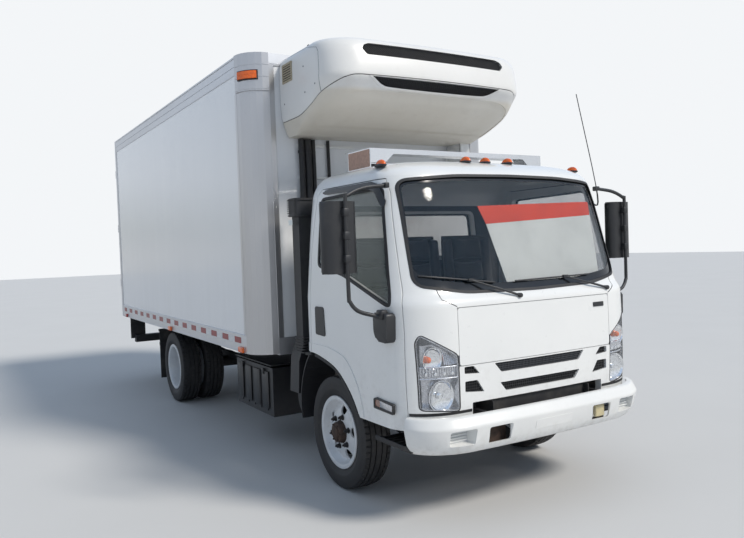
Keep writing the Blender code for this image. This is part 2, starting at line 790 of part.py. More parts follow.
def box_front_wall():
    reach = BOX_HALF_WIDTH - CORNER_RADIUS - SEAT_GAP
    return block((BOX_FRONT - WALL, FRONT_WALL_FACE), (-reach, reach),
                 (FRONT_SILL_TOP + SEAT_GAP, BOX_TOP - WALL - SEAT_GAP))


def box_roof():
    rear = BOX_REAR + REAR_FRAME_DEPTH + SEAT_GAP
    return sheet([(rear, -BOX_HALF_WIDTH), (BOX_FRONT - CORNER_RADIUS, -BOX_HALF_WIDTH),
                  (BOX_FRONT - CORNER_RADIUS, -BOX_HALF_WIDTH + CORNER_RADIUS),
                  (BOX_FRONT, -BOX_HALF_WIDTH + CORNER_RADIUS),
                  (BOX_FRONT, BOX_HALF_WIDTH - CORNER_RADIUS),
                  (BOX_FRONT - CORNER_RADIUS, BOX_HALF_WIDTH - CORNER_RADIUS),
                  (BOX_FRONT - CORNER_RADIUS, BOX_HALF_WIDTH), (rear, BOX_HALF_WIDTH)],
                 "plan", BOX_TOP - WALL, BOX_TOP)


def quarter_outline(radius, inner, side, centre_x, centre_y, steps=6):
    outline = []
    for k in range(steps + 1):
        angle = pi / 2 * k / steps
        outline.append((centre_x + radius * cos(angle), side * (centre_y + radius * sin(angle))))
    for k in range(steps, -1, -1):
        angle = pi / 2 * k / steps
        outline.append((centre_x + inner * cos(angle), side * (centre_y + inner * sin(angle))))
    return outline


def box_post(side):
    centre_x = BOX_FRONT - CORNER_RADIUS + SEAT_GAP
    centre_y = BOX_HALF_WIDTH - CORNER_RADIUS + SEAT_GAP
    outline = quarter_outline(CORNER_RADIUS, CORNER_RADIUS - WALL, side, centre_x, centre_y)
    post = sheet(outline, "plan", BOX_RAIL_BOTTOM, CAP_BOTTOM + 0.02)
    cap_outline = quarter_outline(CORNER_RADIUS + CAP_PROUD, CORNER_RADIUS - WALL, side,
                                  centre_x, centre_y)
    cap = sheet(cap_outline, "plan", CAP_BOTTOM, BOX_TOP - 0.03)
    lid_outline = [(centre_x, side * centre_y)]
    lid_outline += [(centre_x + (CORNER_RADIUS + CAP_PROUD) * cos(a),
                     side * (centre_y + (CORNER_RADIUS + CAP_PROUD) * sin(a)))
                    for a in (pi / 12 * k for k in range(7))]
    lid = sheet(lid_outline, "plan", BOX_TOP - WALL, BOX_TOP)
    return join(post, cap, lid)


def box_rear_frame():
    half = BOX_HALF_WIDTH
    front = BOX_REAR + REAR_FRAME_DEPTH
    frame = block((BOX_REAR, front), (-half, half), (BOX_RAIL_BOTTOM, BOX_TOP))
    opening = block((BOX_REAR - 0.1, front + 0.1), (-half + REAR_POST_WIDTH, half - REAR_POST_WIDTH),
                    (BOX_FLOOR_TOP, REAR_HEADER_BOTTOM))
    frame = cut(frame, opening)
    hinges = []
    for _, side in SIDES:
        y = side * (half - REAR_HINGE_INSET)
        for z in REAR_HINGE_HEIGHTS:
            for end in (-1, 1):
                z_low, z_high = sorted((z + end * 0.028, z + end * 0.050))
                y_low, y_high = sorted((y - side * 0.016, y + side * 0.012))
                ear = block((BOX_REAR - REAR_HINGE_STANDOFF, BOX_REAR + 0.001), (y_low, y_high),
                            (z_low, z_high))
                knuckle = rod((rear_hinge_x(), y, z_low), (rear_hinge_x(), y, z_high),
                              REAR_HINGE_RADIUS, 8)
                hinges += [ear, knuckle]
            hinges.append(rod((rear_hinge_x(), y, z - 0.045), (rear_hinge_x(), y, z + 0.045),
                              REAR_PIN_RADIUS, 8))
        y_low, y_high = sorted((side * 0.97, side * 1.09))
        hinges.append(block((BOX_REAR - 0.030, BOX_REAR + 0.01), (y_low, y_high), (0.93, 1.05)))
    return join(frame, *hinges)


REAR_HINGE_HEIGHTS = (1.35, 2.10, 2.85)


def rear_hinge_x():
    return BOX_REAR - MOVING_GAP - REAR_HINGE_STANDOFF + 0.002


def rear_door(side):
    edge = BOX_HALF_WIDTH - REAR_POST_WIDTH - MOVING_GAP
    y_low, y_high = sorted((side * MOVING_GAP / 2, side * edge))
    outer = BOX_REAR - MOVING_GAP
    panel = block((outer, outer + REAR_DOOR_THICKNESS), (y_low, y_high),
                  (BOX_FLOOR_TOP + MOVING_GAP, REAR_HEADER_BOTTOM - MOVING_GAP))
    pieces = []
    hinge_y = side * (BOX_HALF_WIDTH - REAR_HINGE_INSET)
    for z in REAR_HINGE_HEIGHTS:
        y_a, y_b = sorted((hinge_y - side * 0.34, hinge_y))
        pieces.append(block((outer - 0.007, outer + 0.001), (y_a, y_b), (z - 0.022, z + 0.022)))
        y_a, y_b = sorted((hinge_y - side * 0.010, hinge_y + side * 0.004))
        pieces.append(block((rear_hinge_x(), outer), (y_a, y_b), (z - 0.022, z + 0.022)))
        pieces.append(rod((rear_hinge_x(), hinge_y, z - 0.022), (rear_hinge_x(), hinge_y, z + 0.022),
                          REAR_HINGE_RADIUS, 8))
    rod_y = side * 0.22
    pieces.append(rod((outer - 0.016, rod_y, 1.13), (outer - 0.016, rod_y, 3.09), 0.011, 10))
    for z in (1.16, 1.55, 2.10, 2.65, 3.06):
        y_a, y_b = sorted((rod_y - 0.03, rod_y + 0.03))
        pieces.append(block((outer - 0.022, outer + 0.001), (y_a, y_b), (z - 0.02, z + 0.02)))
    y_a, y_b = sorted((rod_y, side * 0.48))
    pieces.append(block((outer - 0.026, outer - 0.012), (y_a, y_b), (1.46, 1.485)))
    y_a, y_b = sorted((side * 0.44, side * 0.48))
    pieces.append(block((outer - 0.018, outer + 0.001), (y_a, y_b), (1.44, 1.50)))
    door = join(panel, *pieces)
    bores = [rod((rear_hinge_x(), hinge_y, z - 0.1), (rear_hinge_x(), hinge_y, z + 0.1),
                 bore_radius(REAR_PIN_RADIUS, 8), 8) for z in REAR_HINGE_HEIGHTS]
    return cut(door, *bores)


def rear_step():
    back = -REAR_REACH
    bar = block((back, back + 0.10), (-1.05, 1.05), (0.50, 0.60))
    pieces = []
    for _, side in SIDES:
        low, high = sorted((side * 0.36, side * 0.42))
        pieces.append(block((-5.80, RAIL_REAR - SEAT_GAP), (low, high), (0.56, 0.84)))
        low, high = sorted((side * 0.90, side * 1.10))
        pieces.append(block((back, back + 0.012), (low, high), (0.55, 1.09)))
        low, high = sorted((side * 0.36, side * 1.10))
        pieces.append(block((back, back + 0.03), (low, high), (0.78, 0.84)))
    pieces.append(block((back, back + 0.03), (-0.42, 0.42), (0.78, 0.84)))
    pieces.append(block((back + 0.02, -5.71), (-0.42, 0.42), (0.81, 0.84)))
    return join(bar, *pieces)


# Cooling unit

SEAM = ((-0.90, 2.725), (-0.40, 2.795), (-0.09, 2.845), (0.03, 2.915), (0.30, 2.990))


def below_seam(lift):
    outline = [(x, z + lift) for x, z in SEAM]
    outline += [(0.6, SEAM[-1][1] + lift), (0.6, 1.5), (-1.2, 1.5), (-1.2, SEAM[0][1] + lift)]
    return sheet(outline, "side", -2, 2)


def crescent(y_half, z_end, z_mid, height, steps=8):
    upper = []
    lower = []
    for k in range(steps + 1):
        t = -1 + 2 * k / steps
        z = z_mid + (z_end - z_mid) * t * t
        half = height / 2 * (1 - t * t) ** 0.5 if abs(t) < 1 else 0.0
        upper.append((y_half * t, z + half))
        if 0 < k < steps:
            lower.append((y_half * t, z - half))
    return upper + list(reversed(lower))


def unit_cowl():
    cowl = cut(unit_solid(), below_seam(SEAT_GAP))
    upper = rounded([(-0.645, 3.150), (0.645, 3.150), (0.60, 3.195), (-0.60, 3.195)], 0.01)
    return cut(cowl, sheet(upper, "front", 0.02, 0.4), lower_mouth())


def lower_mouth():
    return sheet(crescent(0.58, 2.955, 2.925, 0.07), "front", 0.06, 0.4)


def unit_belly():
    return cut(common(unit_solid(), below_seam(0.0)), lower_mouth())


def unit_hoses():
    routes = (
        (-0.74, 0.030, BOX_FRONT + 0.035, 2.62, 0.90),
        (-0.67, 0.022, BOX_FRONT + 0.027, 2.62, 0.90),
        (-0.52, 0.018, BOX_FRONT + 0.023, 2.62, 1.00),
        (-0.30, 0.010, BOX_FRONT + 0.015, 2.62, 2.20),
    )
    hoses = []
    for y, radius, x, top, low in routes:
        hoses.append(tube([(x, y, top), (x, y, (top + low) / 2), (x, y, low)], radius, 1))
    clips = [block((FRONT_WALL_FACE + SEAT_GAP, BOX_FRONT + 0.012), (-0.78, -0.28), (z, z + 0.03))
             for z in (2.30, 2.56)]
    return join(*hoses, *clips)


def evaporator():
    outline = rounded([(BOX_FRONT - WALL - SEAT_GAP, 2.72), (-1.20, 2.80), (-1.28, 3.20),
                       (BOX_FRONT - WALL - SEAT_GAP, 3.20)], 0.02)
    body = sheet(outline, "side", -0.80, 0.80)
    fans = [rod((-1.40, y, 3.0), (-1.225, y, 3.0), 0.13, 16) for y in (-0.42, 0.42)]
    return cut(body, *fans)


# Cab

def door_outline(grow=0.0):
    # x, z round the door. Its lower edge is the cab's own sill and wheel arch.
    below = ARCH[-1][1] - 0.2
    outline = [(DOOR_FRONT, below), (DOOR_FRONT, 1.20), (0.933, 1.36), (0.840, 1.704),
               (0.748, 2.060), (0.700, 2.150), (-0.110, 2.150), (-0.165, 2.110), (DOOR_REAR, 1.72),
               (DOOR_REAR, below)]
    return offset_outline(outline, grow)


def offset_outline(points, grow):
    # Moves each side of a closed outline outwards by the same distance.
    area = sum(a[0] * b[1] - b[0] * a[1] for a, b in zip(points, points[1:] + points[:1]))
    turn = 1 if area > 0 else -1
    moved = []
    count = len(points)
    for i in range(count):
        before = Vector(points[i - 1])
        here = Vector(points[i])
        after = Vector(points[(i + 1) % count])
        a = (here - before).normalized()
        b = (after - here).normalized()
        normal_a = Vector((a.y, -a.x)) * turn
        normal_b = Vector((b.y, -b.x)) * turn
        middle = (normal_a + normal_b).normalized()
        reach = grow / max(middle.dot(normal_a), 0.5)
        spot = here + middle * reach
        moved.append((spot.x, spot.y))
    return moved


SIDE_WINDOW = ((-0.105, 1.602), (0.268, 1.543), (0.865, 1.354), (0.704, 2.100), (-0.105, 2.085))
WINDSCREEN = ((0.0, 1.415), (0.55, 1.425), (0.885, 1.480), (0.865, 2.140), (0.45, 2.172), (0.0, 2.178))
REAR_WINDOW = ((-0.62, 1.62), (0.62, 1.62), (0.58, 1.98), (-0.58, 1.98))


def windscreen_outline(grow=0.0):
    right = list(WINDSCREEN)
    left = [(-y, z) for y, z in reversed(right) if y > 0]
    outline = right + left
    return offset_outline(rounded(outline, 0.06, 2), grow)


def side_window_outline(grow=0.0):
    return offset_outline(rounded(list(SIDE_WINDOW), 0.04, 2), grow)


def rear_window_outline(grow=0.0):
    return offset_outline(rounded(list(REAR_WINDOW), 0.05, 2), grow)


def arch_prism():
    outline = list(ARCH) + [(0.50, 0.40), (-0.60, 0.40), (-0.60, 0.955)]
    return sheet(outline, "side", -2, 2)


def cab_shell():
    shell = cut(cab_solid(), cab_solid(CAB_WALL, bottom=CAB_BELOW))
    return cut(shell, arch_prism())


def headlamp_outline(side, grow=0.0):
    points = [(0.668, 1.060), (0.660, 0.715), (0.905, 0.735), (0.920, 1.150), (0.895, 1.195)]
    outline = offset_outline(rounded(points, 0.03, 2), grow)
    return [(side * y, z) for y, z in outline]


GRILLE_SLOTS = (
    ((-0.39, 0.976), (0.39, 0.976), (0.337, 0.925), (-0.337, 0.925)),
    ((-0.347, 0.848), (0.347, 0.848), (0.300, 0.802), (-0.300, 0.802)),
    ((0.625, 0.975), (0.555, 0.975), (0.515, 0.935), (0.625, 0.950)),
    ((-0.625, 0.975), (-0.555, 0.975), (-0.515, 0.935), (-0.625, 0.950)),
    ((0.622, 0.885), (0.528, 0.885), (0.480, 0.815), (0.622, 0.842)),
    ((-0.622, 0.885), (-0.528, 0.885), (-0.480, 0.815), (-0.622, 0.842)),
)


def cab_panels():
    # One shell, cut into the panels that the real cab is made of.
    shell = cab_shell()
    windscreen_cut = sheet(windscreen_outline(), "front", 0.45, 2.0)
    rear_window_cut = sheet(rear_window_outline(), "front", -1.0, 0.0)
    shell = cut(shell, windscreen_cut, rear_window_cut)
    door_cut = sheet(door_outline(MOVING_GAP), "side", -2, 2)
    frame = cut(copy_of(shell), door_cut)
    roof = common(copy_of(frame), block((-1, 2), (-2, 2), (CAB_ROOF_SEAM + SEAT_GAP, 3)))
    lower = cut(frame, block((-1, 2), (-2, 2), (CAB_ROOF_SEAM, 3)))
    back = common(copy_of(lower), block((-1, 0.3), (-2, 2), (0, 3)))
    front = cut(lower, block((-1, 0.3 + SEAT_GAP), (-2, 2), (-1, 3)))
    cutters = [sheet(headlamp_outline(side, SEAT_GAP), "front", 0.8, 2.0) for _, side in SIDES]
    cutters += [sheet(rounded(list(slot), 0.006, 1), "front", 0.9, 2.0) for slot in GRILLE_SLOTS]
    # The lid lies in a rebate, on a flange all round its opening.
    rebate = sheet(offset_outline(lid_outline(), MOVING_GAP), "front", 0.9, 2.0)
    cutters.append(cut(rebate, cab_solid(LID_THICKNESS + SEAT_GAP, bottom=CAB_BELOW)))
    cutters.append(sheet(offset_outline(lid_outline(), -LID_FLANGE), "front", 0.9, 2.0))
    for _, side in SIDES:
        low, high = sorted((side * LID_HALF_WIDTH, side * (LID_HALF_WIDTH + 0.012)))
        cutters.append(block((0.9, 2.0), (low, high), (LID_BOTTOM - MOVING_GAP, 1.055)))
    mouth = rectangle((-0.57, 0.57), (0.40, 0.755))
    cutters.append(sheet(mouth, "front", 0.9, 2.0))
    front = cut(front, *cutters)
    door = common(shell, sheet(door_outline(), "side", -2.0, -0.5))
    door = cut(door, sheet(side_window_outline(), "side", -2.0, -0.5))
    grille = cut(copy_of(front), block((0, 2), (-2, 2), (LID_BOTTOM - SEAT_GAP, 3)))
    front = cut(front, block((0, 2), (-2, 2), (0, LID_BOTTOM)))
    return roof, back, front, grille, {"right": door, "left": mirrored(door)}


def cab_glass():
    outer = cab_solid(CAB_GLASS_INSET)
    pane_shell = cut(outer, cab_solid(CAB_GLASS_INSET + CAB_GLASS, bottom=0.3))
    windscreen = common(copy_of(pane_shell),
                        sheet(windscreen_outline(-SEAT_GAP), "front", 0.45, 2.0))
    rear = common(copy_of(pane_shell), sheet(rear_window_outline(-SEAT_GAP), "front", -1.0, 0.0))
    side = common(pane_shell, sheet(side_window_outline(-SEAT_GAP), "side", -2.0, -0.5))
    return windscreen, rear, {"right": side, "left": mirrored(side)}


def headlamp(side):
    skin = cut(cab_solid(0.002), cab_solid(CAB_WALL + 0.008, bottom=0.3))
    low, high = sorted((side * 0.60, side * 1.2))
    prism = sheet(headlamp_outline(side), "front", 0.8, 2.0)
    lamp = common(skin, prism, block((0.8, 2), (low, high), (0, 2)))
    return cut(lamp, sheet(door_outline(MOVING_GAP + SEAT_GAP), "side", -2, 2))


def lid_outline():
    return rectangle((-LID_HALF_WIDTH, LID_HALF_WIDTH), (LID_BOTTOM, LID_TOP))


def service_lid():
    skin = cut(cab_solid(), cab_solid(LID_THICKNESS, bottom=CAB_BELOW))
    return common(skin, sheet(rounded(lid_outline(), 0.012, 2), "front", 0.9, 2.0))


def door_sweeps():
    # The space that the inner front edge of each opening door turns through.
    return [rod((DOOR_HINGE_X, side * DOOR_HINGE_Y, 0.30), (DOOR_HINGE_X, side * DOOR_HINGE_Y, 1.50),
                DOOR_SWEEP, 32) for _, side in SIDES]


def cab_floor():
    inner = CAB_HALF_WIDTH - CAB_WALL - 0.004
    sheet_low = CAB_SILL + 0.015
    step_x = 0.50
    rear = CAB_REAR + CAB_WALL + 0.002
    front = CAB_FRONT - CAB_WALL - 0.075
    under = [(x, z + 0.003) for x, z in ARCH if x > rear]
    outline = [(rear, under[0][1])] + under + [(step_x, sheet_low), (front, sheet_low),
               (front, sheet_low + FLOOR_SHEET), (step_x + 0.02, sheet_low + FLOOR_SHEET)]
    outline += [(x + 0.02, z + FLOOR_SHEET) for x, z in reversed(under[1:])]
    outline += [(rear, under[0][1] + FLOOR_SHEET)]
    pieces = []
    lugs = []
    for _, side in SIDES:
        low, high = sorted((side * (TUNNEL_HALF_WIDTH + 0.001), side * (inner - 0.03)))
        pan = sheet(outline, "side", low, high)
        pieces.append(pan)
        low, high = sorted((side * TUNNEL_HALF_WIDTH, side * (TUNNEL_HALF_WIDTH + 0.02)))
        pieces.append(sheet([(rear, 0.97), (0.30, 0.80), (0.52, sheet_low), (front, sheet_low),
                             (front, TUNNEL_TOP + 0.02), (rear, TUNNEL_TOP + 0.02)],
                            "side", low, high))
        low, high = sorted((side * TILT_LUG_Y, side * (TILT_LUG_Y + 0.030)))
        lugs.append(sheet([(0.93, TILT_Z - 0.005), (1.02, TILT_Z + 0.035), (TILT_X, TILT_Z + 0.034),
                           (TILT_X + 0.030, TILT_Z + 0.018), (TILT_X + 0.034, TILT_Z),
                           (TILT_X + 0.018, TILT_Z - 0.030), (TILT_X, TILT_Z - 0.034),
                           (0.93, TILT_Z - 0.032)], "side", low, high))
    tunnel = block((rear, front), (-TUNNEL_HALF_WIDTH - 0.02, TUNNEL_HALF_WIDTH + 0.02),
                   (TUNNEL_TOP, TUNNEL_TOP + TUNNEL_SHEET))
    floor = common(join(tunnel, *pieces), cab_solid(CAB_WALL + SEAT_GAP, bottom=CAB_BELOW))
    swing = cut(sheet(door_outline(MOVING_GAP), "side", -2, 2),
                cab_solid(CAB_WALL + MOVING_GAP, bottom=CAB_BELOW))
    floor = cut(floor, swing, *door_sweeps())
    bore = rod((TILT_X, -0.7, TILT_Z), (TILT_X, 0.7, TILT_Z), bore_radius(TILT_TUBE_RADIUS, 16), 16)
    return cut(join(floor, *lugs), bore)


def seat(y, half, back_half):
    cushion = sheet(rounded([(-0.18, 1.12), (0.34, 1.13), (0.36, 1.27), (-0.18, 1.24)], 0.05),
                    "side", y - half, y + half)
    back = sheet(rounded([(-0.26, 1.13), (-0.14, 1.13), (-0.20, 1.80), (-0.27, 1.80)], 0.03),
                 "side", y - back_half, y + back_half)
    base = block((-0.20, 0.28), (y - half * 0.8, y + half * 0.8), (TUNNEL_TOP + TUNNEL_SHEET + SEAT_GAP, 1.14))
    return join(cushion, back, base)


def dashboard():
    outline = rounded([(0.66, 1.18), (0.72, 1.36), (0.90, 1.395), (1.00, 1.36), (1.00, 1.12),
                       (0.80, 1.11)], 0.03)
    body = sheet(outline, "side", -0.9, 0.9)
    body = common(body, cab_solid(CAB_WALL + 0.012, bottom=0.3))
    body = cut(body, *door_sweeps())
    end = Vector(STEERING_CENTRE) - Vector(STEERING_AXIS).normalized() * (STEERING_HUB + SEAT_GAP)
    column = rod((0.80, STEERING_Y, 1.22), end, 0.035, 12)
    console = block((0.72, 0.95), (-0.20, 0.20), (TUNNEL_TOP + TUNNEL_SHEET + SEAT_GAP, 1.20))
    return join(body, column, console)


STEERING_AXIS = (-0.84, 0.0, 0.5425)
STEERING_CENTRE = (0.50, STEERING_Y, 1.414)
STEERING_HUB = 0.045


def steering_wheel():
    centre = Vector(STEERING_CENTRE)
    axis = Vector(STEERING_AXIS).normalized()
    side = Vector((0, 1, 0))
    up = axis.cross(side)
    rim = []
    for k in range(24):
        angle = tau * k / 24
        rim.append(centre + (side * cos(angle) + up * sin(angle)) * 0.20)
    curve = bpy.data.curves.new("rim", "CURVE")
    curve.dimensions = "3D"
    curve.bevel_depth = 0.014
    curve.bevel_resolution = 1
    spline = curve.splines.new("POLY")
    spline.points.add(len(rim) - 1)
    for point, place in zip(spline.points, rim):
        point.co = (*place, 1.0)
    spline.use_cyclic_u = True
    ring = curve_shape(curve)
    hub = rod(centre - axis * STEERING_HUB, centre + axis * 0.01, 0.06, 12)
    spokes = [rod(centre - axis * 0.01, centre + (side * a + up * b) * 0.195, 0.012, 8)
              for a, b in ((0.95, 0.3), (-0.95, 0.3), (0.0, -1.0))]
    return join(face_out(ring), hub, *spokes)


def roof_tray():
    top = 2.40
    foot = 2.292
    section = [(-0.79, 2.24), (-0.79, top), (0.79, top), (0.79, 2.24), (0.784, 2.24),
               (0.784, foot), (0.66, foot), (0.66, foot + 0.006), (0.784, foot + 0.006),
               (0.784, top - 0.006), (-0.784, top - 0.006), (-0.784, foot + 0.006),
               (-0.66, foot + 0.006), (-0.66, foot), (-0.784, foot), (-0.784, 2.24)]
    tray = sheet(section, "front", 0.04, 0.346)
    flange = sheet([(-0.787, 2.30), (-0.787, top - 0.002), (0.787, top - 0.002), (0.787, 2.30),
                    (0.66, 2.31), (0.60, 2.365), (-0.60, 2.365), (-0.66, 2.31)],
                   "front", 0.339, 0.3475)
    return cut(join(tray, flange), cab_solid(-SEAT_GAP))


ROOF_LAMPS = ((0.60, 0.865), (0.62, 0.19), (0.60, 0.0), (0.62, -0.19), (0.60, -0.865))


def roof_lamps():
    domes = []
    for x, y in ROOF_LAMPS:
        z = 2.245 if abs(y) > 0.5 else 2.290
        domes.append(ball((x, y, z), (0.045, 0.022, 0.035), 8, 6))
    return domes


ANTENNA = ((0.770, 0.878, 1.990), (0.800, 0.915, 2.055), (0.625, 0.908, 2.850))


def antenna():
    return tube(list(ANTENNA), 0.005, 1)


def wipers():
    pieces = []
    for y0, y1 in ((0.50, -0.02), (-0.20, -0.72)):
        base_x = 1.052
        pieces.append(rod((base_x - 0.02, y0, 1.39), (base_x + 0.03, y0, 1.40), 0.014, 12))
        pieces.append(tube([(base_x + 0.022, y0, 1.40), (base_x + 0.030, (y0 + y1) / 2, 1.44),
                            (base_x + 0.010, y1 + 0.06, 1.50)], 0.007, 1))
    return pieces


def mirror(side):
    arm_y = side * 1.237
    arm = tube([(0.800, side * 0.990, 1.225), (0.795, side * 1.10, 1.280), (0.785, side * 1.215, 1.370),
                (0.780, arm_y, 1.440), (0.780, arm_y, 2.010), (0.778, side * 1.215, 2.045),
                (0.770, side * 1.10, 2.085), (0.765, side * 0.950, 2.105)], 0.012, 2)
    low, high = sorted((side * 1.185, side * 1.365))
    head = sheet(rounded([(0.668, low), (0.668, high), (0.745, high), (0.762, low)], 0.03), "plan",
                 1.57, 2.01)
    clamps = [block((0.70, 0.80), (arm_y - 0.015, arm_y + 0.015), (z - 0.02, z + 0.02))
              for z in (1.70, 1.90)]
    foot_low, foot_high = sorted((side * 0.95, side * 1.015))
    foot = block((0.765, 0.835), (foot_low, foot_high), (1.195, 1.250))
    body = join(arm, head, foot, *clamps)
    return cut(body, cab_solid(-SEAT_GAP))


# Wheels

# Half of a tyre's section, from the bead to the middle of the tread
# distance from the wheel's middle plane, radius
TYRE_HALF_SECTION = (
    (0.0855, 0.250),
    (0.0865, 0.265),
    (0.1080, 0.300),
    (TYRE_WIDTH / 2, 0.335),
    (0.1000, 0.392),
    (0.0750, TYRE_RADIUS),
)


def tyre_profile():
    half = list(TYRE_HALF_SECTION)
    return [(-y, radius) for y, radius in half] + list(reversed(half))


WHEEL_STEPS = 20


def tyre(y):
    return turned(tyre_profile(), WHEEL_STEPS, (0, y, AXLE_HEIGHT))


# Section of the front rim, from the lip over the convex disc to the hub's nose
# distance outwards from the wheel's middle plane, radius
FRONT_RIM_FACE = (
    (0.087, 0.249), (0.087, RIM_RADIUS), (0.100, RIM_RADIUS), (0.100, 0.228), (0.055, 0.205),
    (0.048, 0.182), (0.066, 0.150), (0.072, 0.085), (0.115, 0.078), (0.120, 0.060),
)
FRONT_RIM_BACK = ((0.030, 0.165), (0.030, 0.205), (-0.100, 0.228), (-0.100, RIM_RADIUS),
                  (-0.087, RIM_RADIUS), (-0.087, 0.249))

# Section of one rear rim, from the tyre side over the lip into the deep dish and the hub
# distance outwards from the middle plane between the two tyres, radius
DUAL_HALF = (DUAL_OUTER_Y - DUAL_INNER_Y) / 2
REAR_RIM_FACE = (
    (0.020, 0.212), (DUAL_HALF - 0.100, 0.249), (DUAL_HALF + 0.087, 0.249),
    (DUAL_HALF + 0.087, RIM_RADIUS), (DUAL_HALF + 0.100, RIM_RADIUS), (DUAL_HALF + 0.100, 0.228),
    (DUAL_HALF, 0.205), (0.040, 0.185), (0.026, 0.155), (0.026, 0.090), (0.105, 0.078),
    (0.118, 0.055),
)


VENT_COUNT = 6
VENT_RING = 0.166
VENT_RADIUS = 0.028


def vent_holes(y, side, low, high):
    angles = [tau * (k + 0.5) / VENT_COUNT for k in range(VENT_COUNT)]
    places = [(VENT_RING * cos(a), AXLE_HEIGHT + VENT_RING * sin(a)) for a in angles]
    return [rod((x, y + side * low, z), (x, y + side * high, z), VENT_RADIUS, 10)
            for x, z in places]


def front_rim(side):
    bore = bore_radius(SPINDLE_RADIUS, WHEEL_STEPS)
    y = side * FRONT_WHEEL_Y
    nose = FRONT_RIM_FACE[-1][0] + 0.012
    bore_end = FRONT_RIM_FACE[-1][0] - 0.008
    profile = [(nose, 0.0), (nose, 0.050)] + list(reversed(FRONT_RIM_FACE))
    profile += list(reversed(FRONT_RIM_BACK)) + [(0.030, bore), (bore_end, bore), (bore_end, 0.0)]
    wheel = turned(profile, WHEEL_STEPS, (0, y, AXLE_HEIGHT), side)
    return cut(wheel, *vent_holes(y, side, -0.02, 0.15))


def rear_rims(side):
    bore = bore_radius(REAR_SPINDLE_RADIUS, WHEEL_STEPS)
    middle = side * (DUAL_OUTER_Y + DUAL_INNER_Y) / 2
    hub = REAR_RIM_FACE[-1][0]
    face = list(REAR_RIM_FACE)
    profile = [(hub + 0.012, 0.0), (hub + 0.012, 0.045)] + list(reversed(face))
    profile += [(-along, radius) for along, radius in face]
    profile += [(-hub, bore), (hub - 0.008, bore), (hub - 0.008, 0.0)]
    wheels = turned(profile, WHEEL_STEPS, (0, middle, AXLE_HEIGHT), side)
    wheels = cut(wheels, *vent_holes(middle, side, -0.10, 0.10))
    return moved(wheels, (REAR_AXLE_X, 0, 0))


def moved(item, offset):
    item.data.transform(Matrix.Translation(offset))
    return item


def knuckle(side):
    y = side * KINGPIN_Y
    z = AXLE_HEIGHT
    reach = KINGPIN_HEIGHT / 2
    pin = rod((0, y, z - reach), (0, y, z + reach), KINGPIN_RADIUS, KINGPIN_SIDES)
    low, high = sorted((side * (KINGPIN_Y - 0.04), side * (KINGPIN_Y + 0.075)))
    ears = [block((-0.04, 0.04), (low, high), (z_low, z_high))
            for z_low, z_high in ((z + 0.056, z + reach), (z - reach, z - 0.056))]
    low, high = sorted((side * (KINGPIN_Y + 0.052), side * (KINGPIN_Y + 0.078)))
    plate = block((-0.05, 0.05), (low, high), (z - reach, z + reach))
    spindle = rod((0, side * (KINGPIN_Y + 0.07), z), (0, side * (FRONT_WHEEL_Y + 0.095), z),
                  SPINDLE_RADIUS, 12)
    disc = rod((0, side * (KINGPIN_Y + 0.080), z), (0, side * (KINGPIN_Y + 0.120), z), 0.15, 16)
    arm = block((-0.15, -0.03), (side * (KINGPIN_Y + 0.03) - 0.015, side * (KINGPIN_Y + 0.03) + 0.015),
                (z - 0.095, z - 0.065))
    return join(plate, *ears, pin, spindle, disc, arm)


